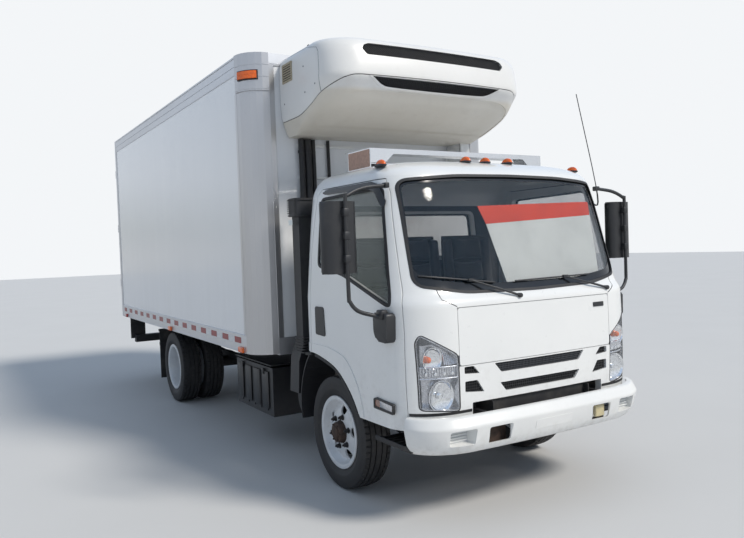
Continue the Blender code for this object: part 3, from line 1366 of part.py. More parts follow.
def build():
    part("frame", frame(), "frame_paint")
    part("front_axle", front_axle(), "frame_paint")
    part("rear_axle", rear_axle(), "frame_paint")
    part("powertrain", powertrain(), "cast_grey")
    part("battery_box", battery_box(), "black_plastic")
    part("fuel_tank", fuel_tank(), "frame_paint")
    part("air_intake", air_intake(), "black_plastic")
    for name, side in SIDES:
        part("mudguard_" + name, mudguard(side), "black_plastic")
    part("mud_flaps", mud_flaps(), "black_rubber")
    part("front_bumper", front_bumper(), "white_paint")
    part("box_floor", box_floor(), "aluminium")
    part("box_front_wall", box_front_wall(), "panel_white")
    for name, side in SIDES:
        part("box_wall_" + name, box_side(side), "panel_white")
    part("box_roof", box_roof(), "aluminium")
    for name, side in SIDES:
        part("box_post_" + name, box_post(side), "cast_grey")
    part("box_rear_frame", box_rear_frame(), "aluminium")
    part("rear_step", rear_step(), "frame_paint")
    part("unit_cowl", unit_cowl(), "unit_white")
    part("unit_belly", unit_belly(), "unit_white")
    part("unit_hoses", unit_hoses(), "black_rubber")
    part("evaporator", evaporator(), "unit_white")
    for name, side in SIDES:
        hinge = (rear_hinge_x(), side * (BOX_HALF_WIDTH - REAR_HINGE_INSET), 0.0)
        part("rear_door_" + name, rear_door(side), "panel_white", hinge)

    tilt = (TILT_X, 0.0, TILT_Z)
    roof, back, front, grille, doors = cab_panels()
    windscreen, rear_window, side_glass = cab_glass()
    part("cab_roof", join(roof, *roof_lamps()), "white_paint", tilt)
    part("cab_back", back, "white_paint", tilt)
    part("cab_front", join(front, antenna(), *wipers()), "white_paint", tilt)
    part("cab_grille", grille, "white_paint", tilt)
    part("cab_floor", cab_floor(), "frame_paint", tilt)
    part("windscreen", windscreen, "glass", tilt)
    part("rear_window", rear_window, "glass", tilt)
    for name, side in SIDES:
        part("headlamp_" + name, headlamp(side), "lamp_clear", tilt)
    part("seat_driver", seat(0.47, 0.25, 0.24), "grey_cloth", tilt)
    part("seat_bench", seat(-0.27, 0.45, 0.43), "grey_cloth", tilt)
    part("dashboard", dashboard(), "black_plastic", tilt)
    part("roof_tray", roof_tray(), "aluminium", tilt)
    part("service_lid", service_lid(), "white_paint", (LID_HINGE_X, 0.0, LID_HINGE_Z))
    part("steering_wheel", steering_wheel(), "black_plastic", STEERING_CENTRE)
    for name, side in SIDES:
        hinge = (DOOR_HINGE_X, side * DOOR_HINGE_Y, 0.0)
        part("cab_door_" + name, doors[name], "white_paint", hinge)
        part("door_glass_" + name, side_glass[name], "glass", hinge)
        part("mirror_" + name, mirror(side), "black_plastic", hinge)

    for name, side in SIDES:
        kingpin = (0.0, side * KINGPIN_Y, AXLE_HEIGHT)
        part("knuckle_" + name, knuckle(side), "frame_paint", kingpin)
        hub = (0.0, side * FRONT_WHEEL_Y, AXLE_HEIGHT)
        part("front_tyre_" + name, tyre(side * FRONT_WHEEL_Y), "black_rubber", hub)
        part("front_rim_" + name, front_rim(side), "wheel_paint", hub)
        rear_hub = (REAR_AXLE_X, side * DUAL_OUTER_Y, AXLE_HEIGHT)
        for place, y in (("inner", DUAL_INNER_Y), ("outer", DUAL_OUTER_Y)):
            part("rear_tyre_" + place + "_" + name, moved(tyre(side * y), (REAR_AXLE_X, 0, 0)),
                 "black_rubber", rear_hub)
        part("rear_rims_" + name, rear_rims(side), "wheel_paint", rear_hub)


build()
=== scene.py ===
# %% [markdown]
# # A refrigerated box truck, dressed
# The truck comes in as a frame of plain solids that already sit, hinge and collide as they should.
# This lesson gives each of them a finish, and builds the finer skins, lamps, wheels and trims that
# a viewer sees. Every cell makes one thing and prints what it made.

# %% Load the frame
from math import cos, pi, radians, sin, sqrt, tau

import bmesh
import bpy
from mathutils import Matrix, Vector


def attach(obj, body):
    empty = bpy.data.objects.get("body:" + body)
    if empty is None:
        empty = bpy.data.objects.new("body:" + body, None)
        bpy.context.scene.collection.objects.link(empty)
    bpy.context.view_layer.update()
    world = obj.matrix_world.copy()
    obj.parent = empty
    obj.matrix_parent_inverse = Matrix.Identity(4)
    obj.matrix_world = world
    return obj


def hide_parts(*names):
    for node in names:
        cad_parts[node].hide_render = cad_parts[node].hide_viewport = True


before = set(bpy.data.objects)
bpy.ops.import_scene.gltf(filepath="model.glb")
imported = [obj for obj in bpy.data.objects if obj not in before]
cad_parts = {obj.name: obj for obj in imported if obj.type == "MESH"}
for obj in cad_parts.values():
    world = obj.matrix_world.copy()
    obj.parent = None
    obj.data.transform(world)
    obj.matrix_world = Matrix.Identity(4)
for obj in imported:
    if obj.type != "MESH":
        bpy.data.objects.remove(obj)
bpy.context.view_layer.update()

# %% [markdown]
# ## Where to measure from
# A truck's drawing measures everything along its length from the front axle, so this lesson does
# too: x forwards from the axle, y to the left, z up from the ground. One shift takes a point of the
# drawing to the frame, whose origin is the middle of the whole truck.

# %% The shift and the sides
AXLE = Vector((2.315, 0.0, 0.0))
SIDES = (("left", 1), ("right", -1))
REAR_AXLE = -3.81


def spot(x, y, z):
    return Vector((x, y, z)) + AXLE


print("front axle at", tuple(AXLE))

# %% [markdown]
# ## The camera
# The camera stands to the front right of the truck at about eye height, as the picture was taken.
# Its axes come from a heading, a small tilt down and a small roll, which is how a hand-held camera
# is turned.

# %% Camera
EYE = spot(4.4463, -3.2760, 1.7319)
HEADING, TILT, ROLL = 2.5995, -0.0324, -0.036
FOCAL_PIXELS, PICTURE_WIDTH, SENSOR_WIDTH = 703.30, 744, 36


def aim_camera():
    ahead = Vector((cos(TILT) * cos(HEADING), cos(TILT) * sin(HEADING), sin(TILT)))
    across = ahead.cross(Vector((0, 0, 1))).normalized()
    above = across.cross(ahead)
    right = across * cos(ROLL) + above * sin(ROLL)
    up = above * cos(ROLL) - across * sin(ROLL)
    lens = bpy.data.cameras.new("camera")
    lens.lens = FOCAL_PIXELS / PICTURE_WIDTH * SENSOR_WIDTH
    lens.sensor_width = SENSOR_WIDTH
    lens.clip_end = 200
    camera = bpy.data.objects.new("camera", lens)
    turn = Matrix((right, up, -ahead)).transposed().to_4x4()
    camera.matrix_world = Matrix.Translation(EYE) @ turn
    bpy.context.scene.collection.objects.link(camera)
    bpy.context.scene.camera = camera
    return camera


print("lens", round(aim_camera().data.lens, 2), "mm")

# %% [markdown]
# ## Shader sums
# Procedural finishes are mostly small sums on numbers, such as the height above the ground or a
# noise. Wiring each Math node by hand hides the sum, so a socket is wrapped in a small class whose
# plus, minus and times add the nodes. Every other node comes from one method.

# %% Sums on sockets
class Wire:
    """A socket that takes part in sums."""

    def __init__(self, finish, socket):
        self.finish = finish
        self.socket = socket

    def math(self, operation, *others, clamp=False):
        settings = {"operation": operation, "use_clamp": clamp}
        values = dict(enumerate((self, *others)))
        return self.finish.node("ShaderNodeMath", settings, values)

    def __add__(self, other):
        return self.math("ADD", other)

    def __sub__(self, other):
        return self.math("SUBTRACT", other)

    def __rsub__(self, other):
        return (self * -1.0).math("ADD", other)

    def __mul__(self, other):
        return self.math("MULTIPLY", other)

    __radd__ = __add__
    __rmul__ = __mul__

    def ramp(self, low, high):
        """0 below low, 1 above high, smooth between."""
        values = {"Value": self, "From Min": low, "From Max": high}
        return self.finish.node("ShaderNodeMapRange", {"interpolation_type": "SMOOTHSTEP"}, values)


class Nodes:
    """A node tree and the method that adds its nodes."""

    def __init__(self, tree):
        self.tree = tree

    def node(self, kind, settings=None, values=None, out=0):
        made = self.tree.nodes.new(kind)
        for name, value in (settings or {}).items():
            setattr(made, name, value)
        for key, value in (values or {}).items():
            self.join(made.inputs[key], value)
        return Wire(self, made.outputs[out]) if len(made.outputs) else None

    def join(self, socket, value):
        if isinstance(value, Wire):
            self.tree.links.new(value.socket, socket)
        elif socket.type == "RGBA" and len(value) == 3:
            socket.default_value = (*value, 1.0)
        else:
            socket.default_value = value


class Finish(Nodes):
    """One material and its shader."""

    def __init__(self, name, **sockets):
        self.material = bpy.data.materials.new(name)
        self.material.use_nodes = True
        super().__init__(self.material.node_tree)
        self.shader = self.tree.nodes["Principled BSDF"]
        self.place = None
        self.set(**sockets)

    def set(self, **sockets):
        for name, value in sockets.items():
            self.join(self.shader.inputs[name.replace("_", " ").title().replace("Ior", "IOR")], value)
        return self

    def where(self):
        """The point on the object, in metres."""
        if self.place is None:
            self.place = self.node("ShaderNodeTexCoord", out=3)
        return self.place

    def axis(self, letter):
        return self.node("ShaderNodeSeparateXYZ", {}, {0: self.where()}, out="XYZ".index(letter))

    def stretched(self, x, y, z):
        settings = {"operation": "MULTIPLY"}
        return self.node("ShaderNodeVectorMath", settings, {0: self.where(), 1: (x, y, z)})

    def noise(self, scale, detail=3.0, roughness=0.5, at=None):
        values = {"Scale": scale, "Detail": detail, "Roughness": roughness}
        values["Vector"] = at or self.where()
        return self.node("ShaderNodeTexNoise", {}, values)

    def blend(self, factor, first, second):
        settings = {"data_type": "RGBA"}
        return self.node("ShaderNodeMix", settings, {0: factor, 6: first, 7: second}, out=2)

    def bump(self, height, strength=0.3, distance=0.002):
        values = {"Strength": strength, "Distance": distance, "Height": height}
        return self.node("ShaderNodeBump", {}, values)


print("shader sums ready")

# %% [markdown]
# ## Painted metal
# Truck paint is a white base under a clear coat. Up close it has a faint orange peel, and road
# dirt gathers low down. The peel is a fine bump, and the dirt is a noise that only counts near
# the ground.

# %% White paint
def white_paint():
    paint = Finish("white paint", coat_weight=0.7, coat_roughness=0.05)
    height = paint.axis("Z")
    mottle = paint.noise(1.3, 4.0)
    grime = paint.noise(14.0, 6.0, 0.65)
    low = 1.0 - height.ramp(0.45, 1.25)
    dirt = grime.ramp(0.45, 0.80) * low * 0.35
    base = paint.blend(mottle.ramp(0.35, 0.7), (0.800, 0.810, 0.805), (0.835, 0.842, 0.835))
    peel = paint.noise(260.0, 1.0)
    return paint.set(
        base_color=paint.blend(dirt, base, (0.40, 0.37, 0.33)),
        roughness=grime * 0.10 + dirt * 0.4 + 0.24,
        normal=paint.bump(peel, 0.02, 0.001),
    )


WHITE_PAINT = white_paint()


def bumper_paint():
    paint = Finish("bumper paint", coat_weight=0.3, coat_roughness=0.15)
    grime = paint.noise(20.0, 6.0, 0.65)
    low = 1.0 - paint.axis("Z").ramp(0.46, 0.60)
    dirt = grime.ramp(0.40, 0.85) * (low * 0.45 + 0.05)
    mottle = paint.noise(2.0, 3.0).ramp(0.35, 0.7)
    base = paint.blend(mottle, (0.775, 0.785, 0.780), (0.81, 0.815, 0.805))
    return paint.set(
        base_color=paint.blend(dirt, base, (0.40, 0.36, 0.31)),
        roughness=dirt * 0.4 + 0.34,
        normal=paint.bump(paint.noise(200.0, 2.0), 0.04, 0.001),
    )


BUMPER_PAINT = bumper_paint()
print("finishes", WHITE_PAINT.material.name, "and", BUMPER_PAINT.material.name)

# %% [markdown]
# ## The body's skin
# The sides of an insulated body are thin glass-fibre or aluminium sheets on foam. They are flat to
# the hand but wavy to the eye, so reflections ripple from top to bottom. A noise that is stretched
# upwards gives the waves as a bump and as painted reflection streaks on a base tinted with painted
# sky blue, and a second one gives the long stains.

# %% White panel
def white_panel():
    skin = Finish("white panel", coat_weight=0.6, coat_roughness=0.06)
    waves_and_reflection = skin.noise(1.0, 2.0, 0.4, skin.stretched(1.6, 1.6, 0.30))
    ripples = skin.noise(1.0, 1.0, 0.4, skin.stretched(6.0, 6.0, 1.0))
    stain = skin.noise(1.0, 5.0, 0.6, skin.stretched(7.0, 7.0, 0.6))
    height = skin.axis("Z")
    low = 1.0 - height.ramp(0.95, 1.9)
    dirt = stain.ramp(0.50, 0.90) * (low * 0.16 + 0.02)
    # The blue tint and the lighter and darker streaks along the waves are painted sky reflection; the
    # stain dirt is real.
    base = skin.blend(waves_and_reflection.ramp(0.3, 0.7), (0.780, 0.795, 0.815), (0.798, 0.812, 0.828))
    return skin.set(
        base_color=skin.blend(dirt, base, (0.48, 0.47, 0.45)),
        roughness=stain * 0.04 + 0.20,
        normal=skin.bump(waves_and_reflection * 0.7 + ripples * (low * 0.22 + 0.02), 0.35, 0.030),
    )


WHITE_PANEL = white_panel()
print("finish", WHITE_PANEL.material.name)

# %% [markdown]
# ## Moulded covers
# The cooling unit's covers are thick moulded plastic: a warmer white than the paint, a softer
# gloss and a little dust in patches.

# %% White plastic
def white_plastic():
    cover = Finish("white plastic", coat_weight=0.25, coat_roughness=0.15)
    mottle = cover.noise(2.2, 4.0)
    dust = cover.noise(9.0, 6.0, 0.6).ramp(0.5, 0.85) * 0.12
    base = cover.blend(mottle.ramp(0.35, 0.7), (0.800, 0.795, 0.775), (0.835, 0.830, 0.812))
    return cover.set(
        base_color=cover.blend(dust, base, (0.50, 0.47, 0.41)),
        roughness=dust * 0.5 + mottle * 0.06 + 0.30,
        normal=cover.bump(cover.noise(420.0, 1.0), 0.03, 0.001),
    )


WHITE_PLASTIC = white_plastic()


def belly_plastic_with_shade():
    cover = Finish("belly plastic with painted shade", coat_weight=0.1, coat_roughness=0.3)
    mottle = cover.noise(1.6, 4.0)
    dust = cover.noise(7.0, 6.0, 0.6).ramp(0.45, 0.85) * 0.22
    # Painted shade: below the rim the belly, which faces down, turns a darker cream; the rim above keeps
    # the plastic's white, and the dust is real.
    rim = cover.axis("Z").ramp(2.86, 2.90)
    panel = cover.blend(mottle.ramp(0.35, 0.7), (0.700, 0.655, 0.570), (0.740, 0.700, 0.620))
    base = cover.blend(rim, panel, (0.80, 0.795, 0.775))
    return cover.set(
        base_color=cover.blend(dust, base, (0.47, 0.42, 0.34)),
        roughness=dust * 0.4 + 0.42,
        normal=cover.bump(cover.noise(300.0, 1.0), 0.04, 0.001),
    )


SHADED_BELLY_PLASTIC = belly_plastic_with_shade()
print("finishes", WHITE_PLASTIC.material.name, "and", SHADED_BELLY_PLASTIC.material.name)

# %% [markdown]
# ## Bare aluminium
# Posts, rails and frames are bare extrusions. The die leaves fine lines along their length, and
# weather leaves paler and duller patches. Lines that run one way are a noise that is stretched
# along that way.

# %% Aluminium
def aluminium(name, along, shade, roughness):
    metal = Finish(name, metallic=0.85)
    fine = [700.0, 700.0, 700.0]
    fine["XYZ".index(along)] = 9.0
    slow = [3.0, 3.0, 3.0]
    slow["XYZ".index(along)] = 0.5
    lines = metal.noise(1.0, 2.0, 0.5, metal.stretched(*fine))
    patches = metal.noise(1.0, 3.0, 0.5, metal.stretched(*slow))
    scuffs = metal.noise(38.0, 4.0, 0.7).ramp(0.64, 0.76)
    low = tuple(c * 0.92 for c in shade)
    base = metal.blend(patches.ramp(0.3, 0.7), low, shade)
    return metal.set(
        base_color=metal.blend(scuffs * 0.15, base, tuple(c * 0.6 for c in shade)),
        roughness=lines * 0.08 + patches * 0.05 + scuffs * 0.06 + (roughness - 0.09),
        normal=metal.bump(lines, 0.05, 0.0008),
    )


POST_METAL = aluminium("brushed post aluminium", "Z", (0.50, 0.50, 0.51), 0.34)
RAIL_METAL = aluminium("rail aluminium", "X", (0.60, 0.61, 0.63), 0.42)
FRAME_METAL = aluminium("rear frame aluminium", "Y", (0.58, 0.59, 0.61), 0.44)
TRAY_METAL = aluminium("bright sheet aluminium", "Y", (0.74, 0.75, 0.77), 0.26)
CAST_METAL = aluminium("cast aluminium", "Z", (0.44, 0.45, 0.47), 0.52)
print("aluminiums ready")

# %% [markdown]
# ## Dark parts
# A chassis is matt black paint under grey road dust, trims are grained black plastic, and hoses,
# seals and tyres are rubber. They differ in grain, gloss and dust more than in colour.

# %% Chassis paint, plastic and rubber
def dark(name, shade, roughness, grain, dust_amount, grain_size=350.0):
    black = Finish(name)
    dust = black.noise(6.0, 6.0, 0.65).ramp(0.40, 0.80) * dust_amount
    tiny = black.noise(grain_size, 2.0)
    return black.set(
        base_color=black.blend(dust, shade, (0.17, 0.155, 0.135)),
        roughness=dust * 0.3 + tiny * 0.08 + (roughness - 0.04),
        normal=black.bump(tiny, grain, 0.0015),
    )


CHASSIS_PAINT = dark("chassis paint", (0.018, 0.018, 0.020), 0.55, 0.10, 0.35)
BLACK_PLASTIC = dark("grained black plastic", (0.020, 0.021, 0.024), 0.42, 0.18, 0.10)
GLOSS_BLACK = dark("gloss black", (0.010, 0.011, 0.013), 0.16, 0.01, 0.03)
BLACK_RUBBER = dark("black rubber", (0.014, 0.014, 0.016), 0.62, 0.12, 0.15)
MUD_RUBBER = dark("flap rubber", (0.020, 0.020, 0.022), 0.70, 0.20, 0.45, 120.0)
print("dark finishes ready")

# %% [markdown]
# ## Castings
# Engine, gearbox and hubs are cast iron: grey-brown, rough and never even.

# %% Cast iron
def cast_iron():
    iron = Finish("cast iron", metallic=0.35)
    rust = iron.noise(16.0, 6.0, 0.7)
    base = iron.blend(rust.ramp(0.35, 0.65), (0.10, 0.095, 0.09), (0.16, 0.10, 0.065))
    return iron.set(
        base_color=base,
        roughness=rust * 0.2 + 0.60,
        normal=iron.bump(iron.noise(160.0, 3.0), 0.35, 0.002),
    )


CAST_IRON = cast_iron()
print("finish", CAST_IRON.material.name)

# %% [markdown]
# ## Wheel paint
# Steel rims are pale grey-white enamel. Brake dust browns them in patches, and stone chips
# leave dark specks.

# %% Wheel paint
def wheel_paint():
    enamel = Finish("wheel enamel", coat_weight=0.3, coat_roughness=0.2)
    film = enamel.noise(11.0, 6.0, 0.65).ramp(0.42, 0.85)
    chips = enamel.noise(95.0, 2.0, 0.5).ramp(0.70, 0.74)
    base = enamel.blend(film * 0.35, (0.70, 0.715, 0.73), (0.40, 0.37, 0.33))
    return enamel.set(
        base_color=enamel.blend(chips * 0.6, base, (0.16, 0.12, 0.10)),
        roughness=film * 0.2 + 0.32,
        normal=enamel.bump(enamel.noise(180.0, 2.0), 0.04, 0.001),
    )


WHEEL_PAINT = wheel_paint()
print("finish", WHEEL_PAINT.material.name)

# %% [markdown]
# ## Tyre rubber
# A tyre is black only where it is new. Its wall is a dusty dark grey with a fine grain, and the
# dust lies in patches.

# %% Tyre rubber
def tyre_rubber():
    tyre = Finish("tyre rubber")
    dust = tyre.noise(22.0, 6.0, 0.65).ramp(0.35, 0.80)
    fine = tyre.noise(240.0, 3.0)
    return tyre.set(
        base_color=tyre.blend(dust * 0.55, (0.016, 0.016, 0.018), (0.060, 0.056, 0.050)),
        roughness=dust * 0.15 + 0.62,
        normal=tyre.bump(fine, 0.15, 0.001),
    )


TYRE_RUBBER = tyre_rubber()
print("finish", TYRE_RUBBER.material.name)

# %% [markdown]
# ## Glass and lenses
# The windows are green-grey safety glass that shows a bright sky on its surface. An alpha below 1
# lets the cab be seen, and the surface stays sharp. A faint film of dust keeps it from being
# perfect.

# %% Glass
def glass(name, shade, alpha, roughness=0.03):
    pane = Finish(name, base_color=shade, coat_weight=1.0, coat_roughness=0.02)
    film = pane.noise(5.0, 5.0, 0.6).ramp(0.4, 0.9)
    pane.material.surface_render_method = "BLENDED"
    return pane.set(roughness=film * 0.05 + roughness, alpha=film * 0.05 + alpha)


WINDOW_GLASS = glass("window glass", (0.16, 0.21, 0.19), 0.26)
SCREEN_GLASS = glass("windscreen glass", (0.012, 0.030, 0.050), 0.16)
CLEAR_LENS = glass("clear lens", (0.80, 0.82, 0.83), 0.16)
LAMP_LENS = glass("lamp cover", (0.75, 0.78, 0.82), 0.08, 0.01)
print("glasses ready")

# %% [markdown]
# ## Lamps and small parts
# Reflectors are nearly perfect mirrors, so what they show is the sky and the ground. Lamp bodies
# are satin grey, and coloured plastics let a little light through. The deep black is painted shade
# for what lies behind meshes and inside holes, and the own black of the radio face and knobs.

# %% Lamp finishes
def plain(name, shade, roughness, size=60.0, change=0.10, **sockets):
    """A colour with a slow noise in its shade and its gloss."""
    made = Finish(name, **sockets)
    drift = made.noise(size, 4.0)
    darker = tuple(c * (1 - change * 2) for c in shade)
    return made.set(base_color=made.blend(drift.ramp(0.3, 0.7), darker, shade),
                    roughness=drift * 0.10 + (roughness - 0.05))


CHROME = plain("reflector chrome", (0.86, 0.87, 0.88), 0.10, metallic=1.0)
LAMP_GREY = plain("lamp body grey", (0.66, 0.67, 0.70), 0.24, metallic=0.85)
AMBER = plain("amber plastic", (0.95, 0.155, 0.006), 0.22, coat_weight=0.3)
RED = plain("red plastic", (0.50, 0.015, 0.012), 0.22, coat_weight=0.6)
# Peach: painted sunlit reflection on the roof tray's aluminium end.
TAN_PLASTIC = plain("sun-bleached tan plastic", (0.44, 0.38, 0.27), 0.55)
PEACH_REFLECTION = plain("peach painted sun reflection", (0.50, 0.31, 0.235), 0.50)
SCREW_GREY = plain("zinc grey", (0.22, 0.23, 0.24), 0.45, metallic=0.4)
RUSTY_STEEL = plain("rusty steel", (0.070, 0.042, 0.030), 0.75, 30.0, 0.25)
# Near-black: painted shade behind meshes and in holes, and the own black of the radio face and knobs.
DEEP_BLACK_AND_SHADE = plain("deep black", (0.006, 0.006, 0.007), 0.80)
DARK_IRON = plain("dark nut iron", (0.045, 0.043, 0.045), 0.50, 120.0, metallic=0.5)
DULL_AMBER = plain("faded amber plastic", (0.36, 0.20, 0.15), 0.25, coat_weight=0.6)
TAPE_RED = plain("tape red", (0.34, 0.035, 0.035), 0.35, 40.0, 0.15)
TAPE_WHITE = plain("tape white", (0.74, 0.74, 0.75), 0.35, 40.0, 0.06)
print("small finishes ready")

# %% [markdown]
# ## Cloth
# Cab seats are covered in a flat woven cloth. Two crossed waves make the weave, and a noise makes
# it worn.

# %% Seat cloth
def seat_cloth():
    cloth = Finish("seat cloth", sheen_weight=0.4, sheen_roughness=0.4)
    across = (cloth.axis("Y") * 2100.0).math("SINE")
    along = ((cloth.axis("X") + cloth.axis("Z")) * 2100.0).math("SINE")
    weave = across * along
    worn = cloth.noise(4.0, 4.0).ramp(0.35, 0.75)
    return cloth.set(
        base_color=cloth.blend(worn, (0.085, 0.088, 0.095), (0.135, 0.138, 0.145)),
        roughness=worn * 0.05 + 0.85,
        normal=cloth.bump(weave, 0.25, 0.0008),
    )


SEAT_CLOTH = seat_cloth()
print("finish", SEAT_CLOTH.material.name)

# %% [markdown]
# ## Finishes for the solids that stay
# A solid whose shape is already right keeps it and only takes its finish. The table names the
# finish of each group of solids.

# %% Finishes on solids
SOLID_FINISHES = (
    (CHASSIS_PAINT, ("frame", "front_axle", "rear_axle", "fuel_tank", "rear_step", "cab_floor",
                     "knuckle_left", "knuckle_right")),
    (CAST_IRON, ("powertrain",)),
    (BLACK_PLASTIC, ("battery_box", "air_intake", "mudguard_left", "mudguard_right", "dashboard",
                     "steering_wheel", "mirror_left", "mirror_right")),
    (MUD_RUBBER, ("mud_flaps",)),
    (BLACK_RUBBER, ("unit_hoses",)),
    (WHITE_PAINT, ("front_bumper", "cab_roof", "cab_back", "cab_front", "cab_grille",
                   "service_lid", "cab_door_left", "cab_door_right")),
    (WHITE_PANEL, ("box_front_wall", "box_wall_left", "box_wall_right", "rear_door_left",
                   "rear_door_right")),
    (RAIL_METAL, ("box_floor", "box_roof")),
    (POST_METAL, ("box_post_left", "box_post_right")),
    (FRAME_METAL, ("box_rear_frame",)),
    (TRAY_METAL, ("roof_tray",)),
    (WHITE_PLASTIC, ("unit_cowl", "unit_belly", "evaporator")),
    (SCREEN_GLASS, ("windscreen",)),
    (WINDOW_GLASS, ("rear_window", "door_glass_left", "door_glass_right")),
    (CLEAR_LENS, ("headlamp_left", "headlamp_right")),
    (SEAT_CLOTH, ("seat_driver", "seat_bench")),
    (TYRE_RUBBER, ("front_tyre_left", "front_tyre_right", "rear_tyre_inner_left",
                   "rear_tyre_outer_left", "rear_tyre_inner_right", "rear_tyre_outer_right")),
    (WHEEL_PAINT, ("front_rim_left", "front_rim_right", "rear_rims_left", "rear_rims_right")),
)


def dress_solids():
    count = 0
    for finish, names in SOLID_FINISHES:
        for name in names:
            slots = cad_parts[name].material_slots
            for slot in slots:
                slot.material = finish.material
            count += 1
    return count


print("dressed solids", dress_solids())

# %% [markdown]
# ## Floor and light
# The truck stands on a plain pale floor under a soft sky. The sky is white to the camera, cooler and
# dimmer where it lights the truck, and one broad lamp from the front left gives the shadow.

# %% Floor
def make_floor():
    mesh = bpy.data.meshes.new("floor")
    reach = 60.0
    mesh.from_pydata([(-reach, -reach, 0), (reach, -reach, 0), (reach, reach, 0), (-reach, reach, 0)],
                     [], [(0, 1, 2, 3)])
    floor = bpy.data.objects.new("floor", mesh)
    bpy.context.scene.collection.objects.link(floor)
    pale = Finish("pale floor", roughness=0.85)
    pale.set(base_color=pale.blend(pale.noise(0.8, 3.0), (0.66, 0.66, 0.655), (0.70, 0.70, 0.695)))
    mesh.materials.append(pale.material)
    return floor


make_floor()

# %% Sky and lamp
SKY_STOPS = ((0.0, (0.72, 0.72, 0.71)), (0.03, (0.62, 0.64, 0.62)), (0.10, (0.86, 0.90, 0.95)),
             (0.45, (0.56, 0.70, 0.92)), (1.0, (0.40, 0.58, 0.88)))


def make_sky():
    world = bpy.data.worlds.new("sky")
    world.use_nodes = True
    bpy.context.scene.world = world
    world.node_tree.nodes.clear()
    sky = Nodes(world.node_tree)
    lights = sky.node("ShaderNodeBackground", {}, {0: (0.66, 0.80, 1.0), 1: 0.44})
    seen = sky.node("ShaderNodeBackground", {}, {0: (0.90, 0.92, 0.94), 1: 1.0})
    place = sky.node("ShaderNodeTexCoord", out="Generated")
    height = sky.node("ShaderNodeSeparateXYZ", {}, {0: place}, out="Z")
    colours = sky.node("ShaderNodeValToRGB", {}, {0: height})
    ramp = colours.socket.node.color_ramp
    for i, (at, colour) in enumerate(SKY_STOPS):
        stop = ramp.elements[i] if i < 2 else ramp.elements.new(at)
        stop.position = at
        stop.color = (*colour, 1)
    mirrored = sky.node("ShaderNodeBackground", {}, {0: colours})
    camera, glossy, through = [sky.node("ShaderNodeLightPath", out="Is %s Ray" % kind)
                               for kind in ("Camera", "Glossy", "Transmission")]
    either = glossy.math("MAXIMUM", through)
    first = sky.node("ShaderNodeMixShader", {}, {0: either, 1: lights, 2: mirrored})
    second = sky.node("ShaderNodeMixShader", {}, {0: camera, 1: first, 2: seen})
    sky.node("ShaderNodeOutputWorld", {}, {0: second})


def make_sun():
    lamp = bpy.data.lights.new("broad lamp", "SUN")
    lamp.energy = 2.65
    lamp.angle = radians(14)
    lamp.color = (1.0, 0.945, 0.865)
    item = bpy.data.objects.new("broad lamp", lamp)
    towards = Vector((-0.80, -0.42, -0.80))
    item.rotation_mode = "QUATERNION"
    item.rotation_quaternion = towards.to_track_quat("-Z", "Y")
    bpy.context.scene.collection.objects.link(item)


make_sky()
make_sun()
bpy.context.scene.view_settings.view_transform = "Standard"
print("sky and lamp ready")

# %% [markdown]
# ## Shapes from outlines
# Most of the truck is sheet: an outline with a thickness, a few sections joined into a skin, or a
# profile turned about an axle. These helpers make such shapes as meshes, in the drawing's
# measures, and cut or join them. The last one gives a shape its finish and its place.

# %% Shape helpers
SCRATCH = bpy.data.collections.new("scratch")
PIECES = bpy.data.collections.new("pieces")
for collection in (SCRATCH, PIECES):
    bpy.context.scene.collection.children.link(collection)
TRIANGLES = {}


def shape(mesh):
    item = bpy.data.objects.new("shape", mesh)
    SCRATCH.objects.link(item)
    return item


def from_bmesh(bm, tidy=True):
    if tidy:
        bmesh.ops.recalc_face_normals(bm, faces=bm.faces)
    mesh = bpy.data.meshes.new("shape")
    bm.to_mesh(mesh)
    bm.free()
    return shape(mesh)


def rounded(points, radius, steps=5):
    """The corners of an outline as arcs."""
    result = []
    count = len(points)
    for i, point in enumerate(points):
        here = Vector(point)
        before = Vector(points[i - 1]) - here
        after = Vector(points[(i + 1) % count]) - here
        reach = min(radius, before.length * 0.45, after.length * 0.45)
        a = here + before.normalized() * reach
        b = here + after.normalized() * reach
        for k in range(steps + 1):
            t = k / steps
            result.append(tuple(a * (1 - t) ** 2 + here * 2 * t * (1 - t) + b * t ** 2))
    return result


def offset_outline(points, grow):
    """Each side of a closed outline moved outwards by the same distance."""
    ring = list(points)
    area = sum(a[0] * b[1] - b[0] * a[1] for a, b in zip(ring, ring[1:] + ring[:1]))
    turn = 1 if area > 0 else -1
    moved = []
    for i, point in enumerate(ring):
        here = Vector(point)
        a = (here - Vector(ring[i - 1])).normalized()
        b = (Vector(ring[(i + 1) % len(ring)]) - here).normalized()
        normal_a = Vector((a.y, -a.x)) * turn
        normal_b = Vector((b.y, -b.x)) * turn
        middle = (normal_a + normal_b).normalized()
        moved.append(tuple(here + middle * grow / max(middle.dot(normal_a), 0.5)))
    return moved


def rectangle(a_range, b_range):
    (a0, a1), (b0, b1) = a_range, b_range
    return [(a0, b0), (a1, b0), (a1, b1), (a0, b1)]


def mirror_outline(points):
    return [(-a, b) for a, b in points]


def ribbon(points, width):
    """The outline of a line of one width along a path."""
    left, right = [], []
    for i, point in enumerate(points):
        along = Vector(points[min(i + 1, len(points) - 1)]) - Vector(points[max(i - 1, 0)])
        normal = Vector((-along.y, along.x)).normalized() * width / 2
        left.append(tuple(Vector(point) + normal))
        right.append(tuple(Vector(point) - normal))
    return left + right[::-1]


PLANES = {
    "side": lambda a, b, depth: (a, depth, b),
    "front": lambda a, b, depth: (depth, a, b),
    "plan": lambda a, b, depth: (a, b, depth),
}


